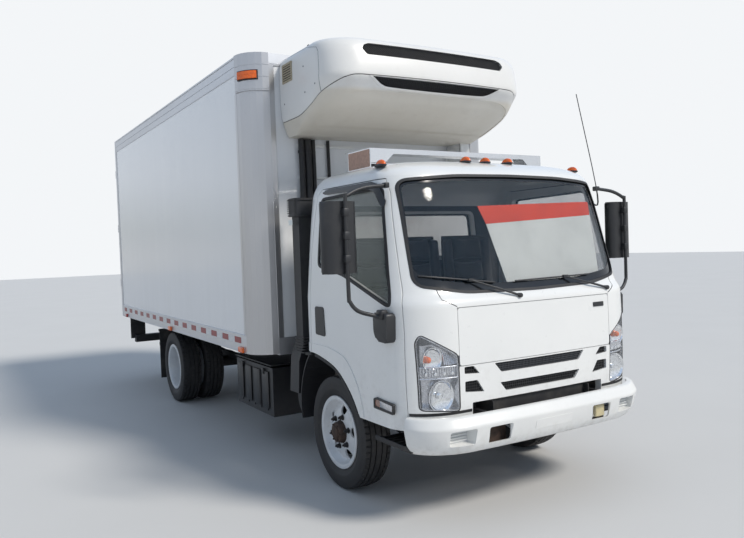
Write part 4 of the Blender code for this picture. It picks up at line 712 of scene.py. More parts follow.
def funnel(outer, inner, plane, near, far, bevel=0.0):
    """A solid between an outline and another one across its plane, its end edges rounded."""
    bm = bmesh.new()
    rows = [[bm.verts.new(PLANES[plane](a, b, depth)) for a, b in outline]
            for outline, depth in ((outer, near), (inner, far))]
    count = len(outer)
    for i in range(count):
        j = (i + 1) % count
        bm.faces.new((rows[0][i], rows[0][j], rows[1][j], rows[1][i]))
    caps = [bm.faces.new(rows[0]), bm.faces.new(list(reversed(rows[1])))]
    if bevel:
        edges = {edge for face in caps for edge in face.edges}
        bmesh.ops.bevel(bm, geom=list(edges), offset=bevel, segments=2, affect="EDGES",
                        profile=0.5, clamp_overlap=True)
    return from_bmesh(bm)


def sheet(outline, plane, low, high, bevel=0.0):
    """A flat outline with a thickness across its plane."""
    return funnel(outline, outline, plane, low, high, bevel)


def frame_sheet(outer, inner, plane, low, high):
    """A ring between two outlines with the same number of points."""
    bm = bmesh.new()
    rows = [[bm.verts.new(PLANES[plane](a, b, depth)) for a, b in outline]
            for outline, depth in ((outer, low), (outer, high), (inner, high), (inner, low))]
    count = len(outer)
    for row, following in zip(rows, rows[1:] + rows[:1]):
        for i in range(count):
            j = (i + 1) % count
            bm.faces.new((row[i], row[j], following[j], following[i]))
    return from_bmesh(bm)


def block(x_range, y_range, z_range, bevel=0.0, segments=2):
    """A box with rounded edges."""
    low = Vector((min(x_range), min(y_range), min(z_range)))
    high = Vector((max(x_range), max(y_range), max(z_range)))
    bm = bmesh.new()
    matrix = Matrix.Translation((low + high) / 2) @ Matrix.Diagonal((*(high - low), 1.0))
    bmesh.ops.create_cube(bm, size=1.0, matrix=matrix)
    if bevel:
        bmesh.ops.bevel(bm, geom=list(bm.edges), offset=bevel, segments=segments, affect="EDGES",
                        profile=0.5, clamp_overlap=True)
    return from_bmesh(bm)


def turn_to(axis):
    return Vector((0, 0, 1)).rotation_difference(Vector(axis)).to_matrix().to_4x4()


def rod(start, end, radius, sides=24, end_radius=None, bevel=0.0):
    start, end = Vector(start), Vector(end)
    span = end - start
    bm = bmesh.new()
    far = radius if end_radius is None else end_radius
    bmesh.ops.create_cone(bm, cap_ends=True, segments=sides, radius1=radius, radius2=far,
                          depth=span.length,
                          matrix=Matrix.Translation((start + end) / 2) @ turn_to(span))
    if bevel:
        edges = [e for e in bm.edges if any(len(f.verts) > 4 for f in e.link_faces)]
        bmesh.ops.bevel(bm, geom=edges, offset=bevel, segments=2, affect="EDGES", profile=0.5)
    return from_bmesh(bm)


def turned(profile, centre, axis=(0, 1, 0), steps=96):
    """A profile of (distance along the axis, radius) pairs turned about the axis."""
    bm = bmesh.new()
    matrix = Matrix.Translation(centre) @ turn_to(axis)
    rows = []
    for along, radius in profile:
        if radius < 1e-6:
            rows.append([bm.verts.new(matrix @ Vector((0, 0, along)))])
        else:
            rows.append([bm.verts.new(matrix @ Vector((radius * cos(tau * k / steps),
                                                       radius * sin(tau * k / steps), along)))
                         for k in range(steps)])
    pairs = list(zip(rows, rows[1:]))
    if len(rows[0]) > 1 and len(rows[-1]) > 1:
        pairs.append((rows[-1], rows[0]))
    for lower, upper in pairs:
        for k in range(steps):
            j = (k + 1) % steps
            ring = [lower[k % len(lower)], lower[j % len(lower)], upper[j % len(upper)],
                    upper[k % len(upper)]]
            corners = list(dict.fromkeys(ring))
            if len(corners) > 2:
                bm.faces.new(corners)
    return from_bmesh(bm)


def smooth_path(points, per_span=6):
    """A curve through the points, for hoses and bent tube."""
    points = [Vector(p) for p in points]
    ends = [points[0] * 2 - points[1]] + points + [points[-1] * 2 - points[-2]]
    path = []
    for a, b, c, d in zip(ends, ends[1:], ends[2:], ends[3:]):
        for k in range(per_span):
            t = k / per_span
            path.append(0.5 * (b * 2 + (c - a) * t + (a * 2 - b * 5 + c * 4 - d) * t * t
                               + (b * 3 - a - c * 3 + d) * t ** 3))
    return path + [points[-1]]


def tube(points, radius, sides=14, smooth=True):
    """A round bar along a path, its section kept square to the path."""
    path = smooth_path(points) if smooth else [Vector(p) for p in points]
    radii = radius if isinstance(radius, (list, tuple)) else [radius] * len(path)
    bm = bmesh.new()
    rows = []
    side = None
    for i, place in enumerate(path):
        along = (path[min(i + 1, len(path) - 1)] - path[max(i - 1, 0)]).normalized()
        if side is None:
            side = along.orthogonal().normalized()
        side = (side - along * side.dot(along)).normalized()
        other = along.cross(side)
        reach = radii[min(i, len(radii) - 1)]
        rows.append([bm.verts.new(place + (side * cos(tau * k / sides)
                                           + other * sin(tau * k / sides)) * reach)
                     for k in range(sides)])
    for lower, upper in zip(rows, rows[1:]):
        for k in range(sides):
            j = (k + 1) % sides
            bm.faces.new((lower[k], lower[j], upper[j], upper[k]))
    bm.faces.new(rows[0])
    bm.faces.new(rows[-1])
    return from_bmesh(bm)


def ball(centre, radii, sides=20, rings=12):
    bm = bmesh.new()
    matrix = Matrix.Translation(Vector(centre)) @ Matrix.Diagonal((*radii, 1.0))
    bmesh.ops.create_uvsphere(bm, u_segments=sides, v_segments=rings, radius=1.0, matrix=matrix)
    return from_bmesh(bm)


def merged(items):
    """Several shapes as one mesh, without cutting them."""
    bm = bmesh.new()
    for item in items:
        bm.from_mesh(item.data)
        bpy.data.objects.remove(item)
    return from_bmesh(bm, tidy=False)


def copy_of(item):
    return shape(item.data.copy())


def mirrored(item):
    twin = copy_of(item)
    bm = bmesh.new()
    bm.from_mesh(twin.data)
    bmesh.ops.transform(bm, matrix=Matrix.Diagonal((1, -1, 1, 1)), verts=bm.verts)
    bmesh.ops.reverse_faces(bm, faces=bm.faces)
    bm.to_mesh(twin.data)
    bm.free()
    return twin


def evaluated(item):
    """The item's mesh as its modifiers leave it, as a new item in place of the old one."""
    bpy.context.view_layer.update()
    source = item.evaluated_get(bpy.context.evaluated_depsgraph_get())
    made = shape(bpy.data.meshes.new_from_object(source))
    bpy.data.objects.remove(item)
    return made


def boolean(target, others, operation):
    for other in others:
        step = target.modifiers.new(operation, "BOOLEAN")
        step.operation = operation
        step.solver = "EXACT"
        step.object = other
        target = evaluated(target)
        bpy.data.objects.remove(other)
    return target


def cut(target, *others):
    return boolean(target, others, "DIFFERENCE")


def join(target, *others):
    return boolean(target, others, "UNION")


def common(target, *others):
    return boolean(target, others, "INTERSECT")


def piece(name, item, finish, body, replaces=(), angle=32):
    """Gives a shape its name, its finish and the body it moves with."""
    mesh = item.data
    mesh.transform(Matrix.Translation(AXLE))
    bm = bmesh.new()
    bm.from_mesh(mesh)
    bmesh.ops.remove_doubles(bm, verts=bm.verts, dist=0.00002)
    bm.to_mesh(mesh)
    bm.free()
    mesh.materials.clear()
    mesh.materials.append(finish.material)
    mesh.shade_smooth()
    mesh.set_sharp_from_angle(angle=radians(angle))
    bpy.data.objects.remove(item)
    made = bpy.data.objects.new(name, mesh)
    PIECES.objects.link(made)
    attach(made, body)
    if replaces:
        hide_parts(*replaces)
    TRIANGLES[name] = sum(len(face.vertices) - 2 for face in mesh.polygons)
    return made


def pair(name, item, finish, body, replaces=()):
    """A shape of the right-hand side and its mirror image; a star stands for the side."""
    for end, part in (("left", mirrored(item)), ("right", item)):
        piece(name + "_" + end, part, finish, body.replace("*", end),
              [other.replace("*", end) for other in replaces])


print("helpers ready")

# %% [markdown]
# ## The cab's skin from its sections
# The cab is drawn as plan outlines at a few heights: a straight back and sides, elliptical front
# corners and a slightly bowed front. Between those heights each measure follows a smooth curve that
# never overshoots, so that pressed panels come out without waves. The same table gives the outer
# skin, the inner skin and the glass, each a little further in.

# %% Sections
# height, rear x, front x, half width, corner depth, corner width
CAB_SECTIONS = (
    (0.610, -0.330, 1.095, 1.005, 0.30, 0.36),
    (1.000, -0.330, 1.105, 1.010, 0.30, 0.36),
    (1.360, -0.330, 1.098, 1.010, 0.30, 0.37),
    (1.440, -0.330, 1.048, 1.004, 0.27, 0.38),
    (1.600, -0.330, 1.002, 0.990, 0.25, 0.38),
    (2.100, -0.325, 0.862, 0.937, 0.22, 0.34),
    (2.180, -0.300, 0.835, 0.915, 0.22, 0.32),
    (2.240, -0.240, 0.760, 0.875, 0.25, 0.32),
    (2.280, -0.130, 0.650, 0.740, 0.25, 0.32),
    (2.305, 0.000, 0.500, 0.480, 0.20, 0.25),
    (2.315, 0.110, 0.370, 0.240, 0.10, 0.12),
)
# height, front x, half width, corner depth, corner width
UNIT_SECTIONS = (
    (2.630, -0.450, 0.870, 0.20, 0.25),
    (2.700, -0.230, 0.900, 0.22, 0.27),
    (2.800, -0.020, 0.925, 0.24, 0.28),
    (2.900, 0.070, 0.930, 0.24, 0.28),
    (2.970, 0.125, 0.930, 0.24, 0.28),
    (3.130, 0.105, 0.930, 0.24, 0.28),
    (3.200, 0.080, 0.925, 0.24, 0.28),
    (3.240, 0.045, 0.905, 0.24, 0.28),
    (3.265, -0.040, 0.860, 0.22, 0.26),
    (3.290, -0.300, 0.760, 0.20, 0.24),
)
BOX_FRONT = -0.79
CAB_WALL = 0.05
CAB_BOW = 0.012
UNIT_BOW = 0.02
CAB_MOUTH = 0.41
CAB_REAR_CORNER = 0.10
THIN = 0.0003
GAP = 0.006


def finer(rows, step):
    """Rows between the given ones, each column on a smooth curve without overshoot."""
    spans = [b[0] - a[0] for a, b in zip(rows, rows[1:])]
    slopes = []
    for column in range(1, len(rows[0])):
        rises = [(b[column] - a[column]) / span for a, b, span in zip(rows, rows[1:], spans)]
        inner = [0.0 if m * n <= 0 else 2 * m * n / (m + n) for m, n in zip(rises, rises[1:])]
        slopes.append([rises[0]] + inner + [rises[-1]])
    result = []
    for i, (a, b) in enumerate(zip(rows, rows[1:])):
        count = max(1, round(spans[i] / step))
        for k in range(count):
            t = k / count
            row = [a[0] + spans[i] * t]
            for column in range(1, len(a)):
                start, end = slopes[column - 1][i], slopes[column - 1][i + 1]
                row.append((2 * t ** 3 - 3 * t ** 2 + 1) * a[column]
                           + (t ** 3 - 2 * t ** 2 + t) * spans[i] * start
                           + (3 * t ** 2 - 2 * t ** 3) * b[column]
                           + (t ** 3 - t ** 2) * spans[i] * end)
            result.append(tuple(row))
    return result + [tuple(rows[-1])]


def nose_ring(z, rear, front, half, depth, width, inset, rear_corner, bow, corner=14, side=18,
              middle=14):
    rear += inset
    front -= inset + bow
    half -= inset
    depth = max(depth - inset, 0.01)
    width = max(width - inset, 0.01)
    rear_corner = max(rear_corner - inset, 0.01)
    points = []
    for k in range(corner + 1):
        a = pi / 2 * k / corner
        points.append((front - depth + depth * cos(a), half - width + width * sin(a)))
    start, end = front - depth, rear + rear_corner
    points += [(start + (end - start) * k / side, half) for k in range(1, side)]
    for k in range(7):
        a = pi / 2 + pi / 2 * k / 6
        points.append((rear + rear_corner + rear_corner * cos(a),
                       half - rear_corner + rear_corner * sin(a)))
    points += [(x, -y) for x, y in reversed(points)]
    flat = half - width
    for k in range(1, middle):
        y = -flat + 2 * flat * k / middle
        points.append((front + bow * (1 - (y / flat) ** 2), y))
    return [(x, y, z) for x, y in points]


def loft(rings):
    bm = bmesh.new()
    rows = [[bm.verts.new(place) for place in ring] for ring in rings]
    for lower, upper in zip(rows, rows[1:]):
        for i in range(len(lower)):
            j = (i + 1) % len(lower)
            bm.faces.new((lower[i], lower[j], upper[j], upper[i]))
    bm.faces.new(list(reversed(rows[0])))
    bm.faces.new(rows[-1])
    return from_bmesh(bm)


CAB_ROWS = finer(CAB_SECTIONS, 0.022)
UNIT_ROWS = finer(UNIT_SECTIONS, 0.022)
BUMPER_ROWS = (
    (0.470, 1.153, 0.943, 0.26, 0.36),
    (0.474, 1.161, 0.951, 0.26, 0.36),
    (0.482, 1.170, 0.959, 0.26, 0.36),
    (0.530, 1.195, 0.985, 0.26, 0.36),
    (0.628, 1.2165, 0.9985, 0.26, 0.36),
    (0.636, 1.2175, 0.9990, 0.26, 0.36),
    (0.643, 1.2160, 0.9980, 0.26, 0.36),
    (0.650, 1.2120, 0.9965, 0.26, 0.36),
    (0.686, 1.1925, 0.9920, 0.26, 0.36),
    (0.694, 1.1870, 0.9890, 0.26, 0.36),
    (0.698, 1.1820, 0.9850, 0.26, 0.36),
    (0.700, 1.1740, 0.9780, 0.26, 0.36),
)


def cab_solid(inset=0.0, bottom=None):
    rings = []
    for z, rear, front, half, depth, width in CAB_ROWS:
        lowered = z - inset * max(0.0, min(1.0, (z - 2.0) / 0.10))
        rings.append(nose_ring(lowered, rear, front, half, depth, width, inset, CAB_REAR_CORNER,
                               CAB_BOW))
    if bottom is not None:
        rings.insert(0, [(x, y, bottom) for x, y, z in rings[0]])
    return loft(rings)


def cab_layer(low, high, bottom=0.3):
    """What lies between two depths in the cab's skin."""
    return cut(cab_solid(low), cab_solid(high, bottom=bottom))


def slice_at(rows, z):
    for a, b in zip(rows, rows[1:]):
        if z <= b[0]:
            t = (z - a[0]) / (b[0] - a[0])
            return [p + (q - p) * t for p, q in zip(a, b)]
    return rows[-1]


def nose_x(y, front, half, depth, width, bow):
    """How far forwards a nose reaches at a place across it."""
    front -= bow
    flat = half - width
    if abs(y) <= flat:
        return front + bow * (1 - (y / flat) ** 2)
    t = min(1.0, (abs(y) - flat) / width)
    return front - depth + depth * sqrt(1 - t * t)


def skin_x(y, z, inset=0.0):
    """Where the front of the cab is, at a place across and up it."""
    _, _, front, half, depth, width = slice_at(CAB_ROWS, z)
    return nose_x(y, front - inset, half - inset, depth - inset, width - inset, CAB_BOW)


def skin_y(z):
    return slice_at(CAB_ROWS, z)[3]


print("rows of the cab", len(CAB_ROWS), "of the unit", len(UNIT_ROWS))

# %% [markdown]
# ## The cab's panels
# A real cab is one welded shell with doors, a roof and a front that meet at thin gaps. Making the
# shell once and cutting it by the same outlines gives panels that fit each other exactly, and each
# panel is as thick as the finished door or wall.

# %% Outlines of the cab
ARCH = ((-0.36, 0.955), (-0.20, 0.968), (-0.03, 0.945), (0.15, 0.897), (0.285, 0.812),
        (0.387, 0.713), (0.459, 0.606))
DOOR = ((0.942, 0.406), (0.942, 1.20), (0.933, 1.36), (0.840, 1.704), (0.748, 2.060),
        (0.700, 2.150), (-0.110, 2.150), (-0.165, 2.110), (-0.21, 1.72), (-0.21, 0.406))
SIDE_WINDOW = rounded(((-0.105, 1.602), (0.268, 1.543), (0.865, 1.354), (0.704, 2.100),
                       (-0.105, 2.085)), 0.045)
SCREEN_HALF = ((0.0, 1.415), (0.55, 1.425), (0.885, 1.480), (0.865, 2.140), (0.45, 2.172),
               (0.0, 2.178))
SCREEN = rounded(list(SCREEN_HALF) + [(-y, z) for y, z in reversed(SCREEN_HALF) if y > 0], 0.07, 8)
REAR_WINDOW = rounded(((-0.62, 1.62), (0.62, 1.62), (0.58, 1.98), (-0.58, 1.98)), 0.05)
LAMP = rounded(((0.668, 1.060), (0.660, 0.715), (0.905, 0.735), (0.920, 1.150), (0.895, 1.195)),
               0.03)
LID = rectangle((-0.66, 0.66), (0.99, 1.34))
ROOF_SEAM = 2.165
GRILLE_SLOTS = (
    ((-0.395, 0.978), (0.395, 0.978), (0.342, 0.918), (-0.342, 0.918)),
    ((-0.352, 0.852), (0.352, 0.852), (0.305, 0.796), (-0.305, 0.796)),
    ((0.628, 0.980), (0.558, 0.980), (0.512, 0.930), (0.628, 0.938)),
    ((-0.628, 0.980), (-0.558, 0.980), (-0.512, 0.930), (-0.628, 0.938)),
    ((0.625, 0.890), (0.530, 0.890), (0.478, 0.812), (0.625, 0.826)),
    ((-0.625, 0.890), (-0.530, 0.890), (-0.478, 0.812), (-0.625, 0.826)),
)


def arch_curve(grow=0.0):
    middle = smooth_path([(x, 0, z) for x, z in ARCH], 5)
    return [(p.x + (grow * 0.75 if p.x > 0 else 0.0), p.z + grow * 0.66) for p in middle]


print("outlines of the cab ready")

# %% The shell and its panels
def make_panels():
    shell = cab_layer(0.0, CAB_WALL, CAB_MOUTH)
    arch = arch_curve() + [(0.50, 0.40), (-0.60, 0.40), (-0.60, 0.955)]
    shell = cut(shell, sheet(arch, "side", -2, 2), sheet(SCREEN, "front", 0.45, 2.0),
                sheet(REAR_WINDOW, "front", -1.0, 0.0))
    frame_part = cut(copy_of(shell), sheet(offset_outline(DOOR, GAP), "side", -2, 2))
    roof = common(copy_of(frame_part), block((-1, 2), (-2, 2), (ROOF_SEAM + THIN, 3)))
    lower = cut(frame_part, block((-1, 2), (-2, 2), (ROOF_SEAM, 3)))
    back = common(copy_of(lower), block((-1, 0.3), (-2, 2), (0, 3)))
    front = cut(lower, block((-1, 0.3 + THIN), (-2, 2), (-1, 3)))
    cutters = [sheet(outline, "front", 0.8, 2.0) for outline in
               (offset_outline(LAMP, THIN * 5), offset_outline(mirror_outline(LAMP), THIN * 5))]
    cutters += [sheet(rounded(slot, 0.008, 3), "front", 0.9, 2.0) for slot in GRILLE_SLOTS]
    rebate = sheet(offset_outline(LID, 0.004), "front", 0.9, 2.0)
    cutters.append(cut(rebate, cab_solid(0.0203, bottom=CAB_MOUTH)))
    cutters.append(sheet(offset_outline(LID, -0.02), "front", 0.9, 2.0))
    cutters.append(sheet(rounded(rectangle((-0.57, 0.57), (0.40, 0.755)), 0.01), "front", 0.9, 2.0))
    for _, side in SIDES:
        cutters.append(block((0.9, 2.0), (side * 0.66, side * 0.672), (0.984, 1.055)))
    front = cut(front, *cutters)
    grille = cut(copy_of(front), block((0, 2), (-2, 2), (0.99 - THIN, 3)))
    front = cut(front, block((0, 2), (-2, 2), (0, 0.99)))
    door = common(shell, sheet(DOOR, "side", -2.0, -0.5))
    door = cut(door, sheet(SIDE_WINDOW, "side", -2.0, -0.5))
    return roof, back, front, grille, door


roof, back, front, grille, right_door = make_panels()
left_door = mirrored(right_door)
recess = (block((-0.122, 0.004), (-1.10, -0.985), (1.116, 1.302), 0.012),
          block((-0.122, 0.004), (0.985, 1.10), (1.116, 1.302), 0.012))
right_door, left_door = cut(right_door, recess[0]), cut(left_door, recess[1])
piece("cab_roof_skin", roof, WHITE_PAINT, "cab", ["cab_roof"])
piece("cab_back_skin", back, WHITE_PAINT, "cab", ["cab_back"])
piece("cab_front_skin", front, WHITE_PAINT, "cab", ["cab_front"])
piece("cab_lower_front", grille, WHITE_PAINT, "cab", ["cab_grille"])
piece("door_skin_right", right_door, WHITE_PAINT, "right_cab_door", ["cab_door_right"])
piece("door_skin_left", left_door, WHITE_PAINT, "left_cab_door", ["cab_door_left"])
print("cab panels", sum(TRIANGLES.values()), "triangles")

# %% [markdown]
# ## The flared arch line
# Below the door handle a pressed line follows the wheel arch. The metal below it stands a few
# millimetres proud, which stiffens the edge that stones hit. It is a thin overlay with a soft edge,
# cut where the door meets the cab.

# %% Pressed arch line
def arch_flare(x_range):
    line = [(-0.33, 1.037), (-0.28, 1.036), (-0.10, 1.035), (0.056, 1.030), (0.180, 1.012),
            (0.271, 0.990), (0.350, 0.938), (0.424, 0.853), (0.475, 0.760), (0.515, 0.625)]
    upper = [(p.x, p.z) for p in smooth_path([(x, 0, z) for x, z in line], 4)]
    lower = [(x + 0.002, z + 0.006) for x, z in arch_curve()]
    lower[-1] = (0.463, 0.625)
    outline = upper + list(reversed(lower))
    band = sheet(outline, "side", -1.1, -0.9)
    skin = cab_layer(-0.005, 0.004)
    return common(band, skin, block(x_range, (-1.2, -0.8), (0.5, 1.2)))


pair("arch_line_door", arch_flare((-0.206, 0.60)), WHITE_PAINT, "*_cab_door")
pair("arch_line_cab", arch_flare((-0.327, -0.218)), WHITE_PAINT, "cab")
print("arch lines ready")

# %% [markdown]
# ## Rubber round the arch, and the door seals
# A black lip is pushed over the raw edge of the arch, and a soft seal fills the gap behind each
# door. Both are extrusions: one section that follows a line.

# %% Rubber lips
def arch_lip(x_low, x_high):
    curve = [(x, z) for x, z in arch_curve(-0.004) if x_low <= x <= x_high and z > 0.615]
    inner = [(x, z - 0.022) if x < 0.1 else (x - 0.020, z - 0.010) for x, z in curve]
    return sheet(curve + list(reversed(inner)), "side", -1.0125, -0.968, bevel=0.003)


pair("arch_lip_door", arch_lip(-0.200, 0.46), BLACK_RUBBER, "*_cab_door")
pair("arch_lip_cab", arch_lip(-0.33, -0.219), BLACK_RUBBER, "cab")


def door_seal():
    outer = offset_outline(DOOR, GAP + 0.001)
    inner = offset_outline(DOOR, -0.004)
    ring = frame_sheet(outer, inner, "side", -2, -0.5)
    zone = cab_layer(0.018, 0.030)
    return common(zone, ring, block((-0.4, 1.1), (-1.2, -0.5), (0.97, 2.3)))


pair("door_seal", door_seal(), BLACK_RUBBER, "cab")
print("lips and seals ready")

# %% [markdown]
# ## Glass with its black border
# Bonded glass is printed with a black border that hides the glue, and a rubber strip fills the
# step to the metal. The panes follow the cab's skin a few millimetres further in, and the border is
# a thin layer on the outside.

# %% Panes, borders and rubber
def pane_between(low, high, outline, plane, near, far):
    return common(cab_layer(low, high), sheet(outline, plane, near, far))


SCREEN_OPEN = rounded(((0.0, 1.470), (0.45, 1.474), (0.76, 1.512), (0.868, 1.570), (0.835, 2.108),
                       (0.45, 2.136), (0.0, 2.142), (-0.45, 2.136), (-0.835, 2.108),
                       (-0.868, 1.570), (-0.76, 1.512), (-0.45, 1.474)), 0.05, 8)


def border(outer, inner, low, high, plane, near, far):
    skin = cab_layer(low, high)
    ring = cut(sheet(outer, plane, near, far), sheet(inner, plane, near - 1, far + 1))
    return common(skin, ring)


piece("windscreen_pane", pane_between(0.010, 0.016, offset_outline(SCREEN, -THIN), "front", 0.45, 2),
      SCREEN_GLASS, "cab", ["windscreen"])
piece("windscreen_border",
      border(offset_outline(SCREEN, -0.004), SCREEN_OPEN, 0.0088, 0.0098, "front", 0.45, 2),
      GLOSS_BLACK, "cab")
piece("windscreen_rubber",
      border(offset_outline(SCREEN, 0.006), offset_outline(SCREEN, -0.012), -0.0025, 0.0086,
             "front", 0.45, 2), BLACK_RUBBER, "cab")
piece("rear_pane", pane_between(0.010, 0.016, offset_outline(REAR_WINDOW, -THIN), "front", -1, 0),
      WINDOW_GLASS, "cab", ["rear_window"])
piece("rear_window_rubber",
      border(offset_outline(REAR_WINDOW, 0.008), offset_outline(REAR_WINDOW, -0.014), -0.003,
             0.0095, "front", -1, 0), BLACK_RUBBER, "cab")


def side_glazing():
    pane = pane_between(0.010, 0.015, offset_outline(SIDE_WINDOW, -THIN), "side", -2, -0.5)
    rubber = border(offset_outline(SIDE_WINDOW, 0.007), offset_outline(SIDE_WINDOW, -0.013),
                    -0.0015, 0.0095, "side", -2, -0.5)
    return pane, rubber


pane, rubber = side_glazing()
pair("side_pane", pane, WINDOW_GLASS, "*_cab_door", ["door_glass_*"])
pair("side_rubber", rubber, BLACK_RUBBER, "*_cab_door")
print("glass ready")

# %% [markdown]
# ## The lid under the windscreen
# The service lid is a pressed panel that hangs on two hinges at its top edge. Only its gap shows.
# A small dark plate sits at its upper left corner, left blank here, and a seam with cut corners
# marks where the panel above it begins.

# %% Service lid
def make_lid():
    skin = cab_layer(0.0, 0.02, CAB_MOUTH)
    return common(skin, sheet(rounded(LID, 0.02, 5), "front", 0.9, 2.0))


piece("lid_skin", make_lid(), WHITE_PAINT, "lid", ["service_lid"])


def blank_plate():
    outline = rounded(rectangle((0.505, 0.610), (1.262, 1.293)), 0.004, 3)
    skin = cab_layer(-0.004, -0.0002, CAB_MOUTH)
    return common(skin, sheet(outline, "front", 0.9, 2.0))


piece("blank_plate", blank_plate(), BLACK_PLASTIC, "lid")


def cowl_seam(side):
    """A dark line laid on the skin, with a cut corner."""
    line = ribbon([(side * 0.760, 1.462), (side * 0.752, 1.395), (side * 0.664, 1.350)], 0.005)
    return common(cab_layer(-0.0006, 0.003, CAB_MOUTH), sheet(line, "front", 0.6, 2.0))


piece("cowl_seam", merged([cowl_seam(side) for _, side in SIDES]), BLACK_RUBBER, "cab")
print("lid ready")

# %% [markdown]
# ## Grille meshes
# Behind the slots lies a dark radiator with thin bars in front of it. A deep black backing plate,
# painted shade for the dark inside of the slots, and a crossing of bars a few millimetres in front of
# it give the slots depth.

# %% Grilles
def span(outline, axis, value):
    """Where a line at a value of one axis enters and leaves an outline, on the other axis."""
    hits = []
    for start, end in zip(outline, outline[1:] + outline[:1]):
        if min(start[axis], end[axis]) <= value < max(start[axis], end[axis]):
            share = (value - start[axis]) / (end[axis] - start[axis])
            hits.append(start[1 - axis] + (end[1 - axis] - start[1 - axis]) * share)
    return min(hits), max(hits)


def slot_mesh(outline, depth, pitch, thick):
    """Crossed bars inside one slot, following the cab's skin."""
    bars = []
    left, right = min(a for a, b in outline), max(a for a, b in outline)
    for k in range(int((right - left) / pitch)):
        y = left + pitch * (k + 0.5)
        low, high = span(outline, 0, y)
        x = skin_x(y, (low + high) / 2, depth)
        bars.append(block((x - thick, x), (y - thick / 2, y + thick / 2), (low, high)))
    lowest, highest = min(b for a, b in outline), max(b for a, b in outline)
    for k in range(int((highest - lowest) / pitch)):
        z = lowest + pitch * (k + 0.5)
        low, high = span(outline, 1, z)
        rows = [low + (high - low) * step / 8 for step in range(9)]
        bars.append(tube([(skin_x(y, z, depth + thick * 0.3), y, z) for y in rows], thick / 2, 5,
                         smooth=False))
    return merged(bars)


# A deep black plate behind each slot: painted shade for the dark inside.
def slot_shade_back(outline):
    return common(cab_layer(0.020, 0.024),
                  sheet(offset_outline(outline, -0.0006), "front", 0.8, 1.3))


MESH_PLASTIC = dark("mesh plastic", (0.040, 0.044, 0.052), 0.40, 0.10, 0.10)
piece("upper_grille_mesh", slot_mesh(GRILLE_SLOTS[0], 0.010, 0.0125, 0.0040), MESH_PLASTIC, "cab")
piece("middle_grille_mesh", slot_mesh(GRILLE_SLOTS[1], 0.012, 0.0170, 0.0035), BLACK_PLASTIC, "cab")
piece("side_grille_mesh", merged([slot_mesh(slot, 0.010, 0.0170, 0.0035) for slot in GRILLE_SLOTS[2:]]),
      BLACK_PLASTIC, "cab")
piece("grille_shade_backs", merged([slot_shade_back(slot) for slot in GRILLE_SLOTS]), DEEP_BLACK_AND_SHADE, "cab")


def lamp_sill():
    """The black strip between each headlamp and the bumper."""
    strips = []
    for _, side in SIDES:
        outline = rectangle((side * 0.575, side * 0.99), (0.701, 0.7185))
        strips.append(common(cab_layer(-0.0015, 0.004),
                             sheet(outline, "front", 0.8, 1.3), block((0.952, 2), (-2, 2), (0, 2))))
    return merged(strips)


piece("lamp_sill", lamp_sill(), BLACK_RUBBER, "cab")


def radiator_front():
    items = [block((0.750, 0.756), (-0.33, 0.33), (0.53, 1.01))]
    items += [block((0.756, 0.762), (-0.33, 0.33), (0.54 + 0.012 * k, 0.545 + 0.012 * k))
              for k in range(39)]
    items += [rod((0.775, -0.34, z), (0.775, 0.34, z), 0.010, 12) for z in (0.60, 0.72)]
    return merged(items)


piece("radiator_fins", radiator_front(), CAST_IRON, "chassis")
print("grilles ready")

# %% [markdown]
# ## Bumper
# The bumper is pressed steel about as deep as a hand. Its top shoulder slopes forwards to a
# crease, and its face has a funnel for each fog lamp and a ribbed pocket for a lamp this truck does
# not have. A funnel is an outline that shrinks as it goes in, so one helper makes every pocket.

# %% Bumper
def bumper_solid(inset=0.0, lid=True):
    rings = []
    for i, (z, front, half, depth, width) in enumerate(BUMPER_ROWS):
        if inset > 0 and lid and i == len(BUMPER_ROWS) - 1:
            z -= 0.001
        rings.append(nose_ring(z, 0.5, front, half, depth, width, inset, 0.05, 0.015))
    if inset > 0:
        rings.insert(0, [(x, y, z - 0.1) for x, y, z in rings[0]])
    if not lid:
        rings.append([(x, y, z + 0.1) for x, y, z in rings[-1]])
    return loft(rings)


BUMPER_END = 0.962
FOG = rounded(rectangle((0.36, 0.53), (0.515, 0.615)), 0.015, 4)
FOG_MOUTH = rounded(rectangle((0.325, 0.545), (0.500, 0.630)), 0.022, 4)
RIBBED = rounded(rectangle((0.645, 0.795), (0.535, 0.615)), 0.010, 4)
RIBBED_MOUTH = rounded(rectangle((0.615, 0.815), (0.518, 0.632)), 0.020, 4)


def make_bumper():
    inside = common(bumper_solid(0.021, lid=False), block((-2, 1.17), (-2, 2), (0.670, 2)))
    body = cut(bumper_solid(), bumper_solid(0.012), inside, block((-2, BUMPER_END), (-2, 2), (0, 2)))
    for outline, mouth, depth in ((FOG, FOG_MOUTH, 1.192), (RIBBED, RIBBED_MOUTH, 1.115)):
        for side in (-1, 1):
            ends = [[(side * a, b) for a, b in line] for line in
                    (offset_outline(mouth, 0.006), offset_outline(outline, 0.006), mouth, outline)]
            pocket = common(funnel(ends[0], ends[1], "front", 1.245, depth - 0.006), bumper_solid())
            body = join(body, pocket)
            if depth > 1.15:
                body = cut(body, funnel(ends[2], ends[3], "front", 1.246, depth),
                           sheet(ends[3], "front", 1.12, 1.25))
            else:
                body = cut(body, funnel(ends[2], ends[3], "front", 1.246, depth))
    raised = rounded(rectangle((-0.16, 0.16), (0.545, 0.605)), 0.012, 4)
    emboss = common(cut(bumper_solid(-0.0016), bumper_solid(0.003)),
                    sheet(raised, "front", 1.1, 1.3))
    return merged([body, emboss])


piece("bumper_skin", make_bumper(), BUMPER_PAINT, "chassis", ["front_bumper"])


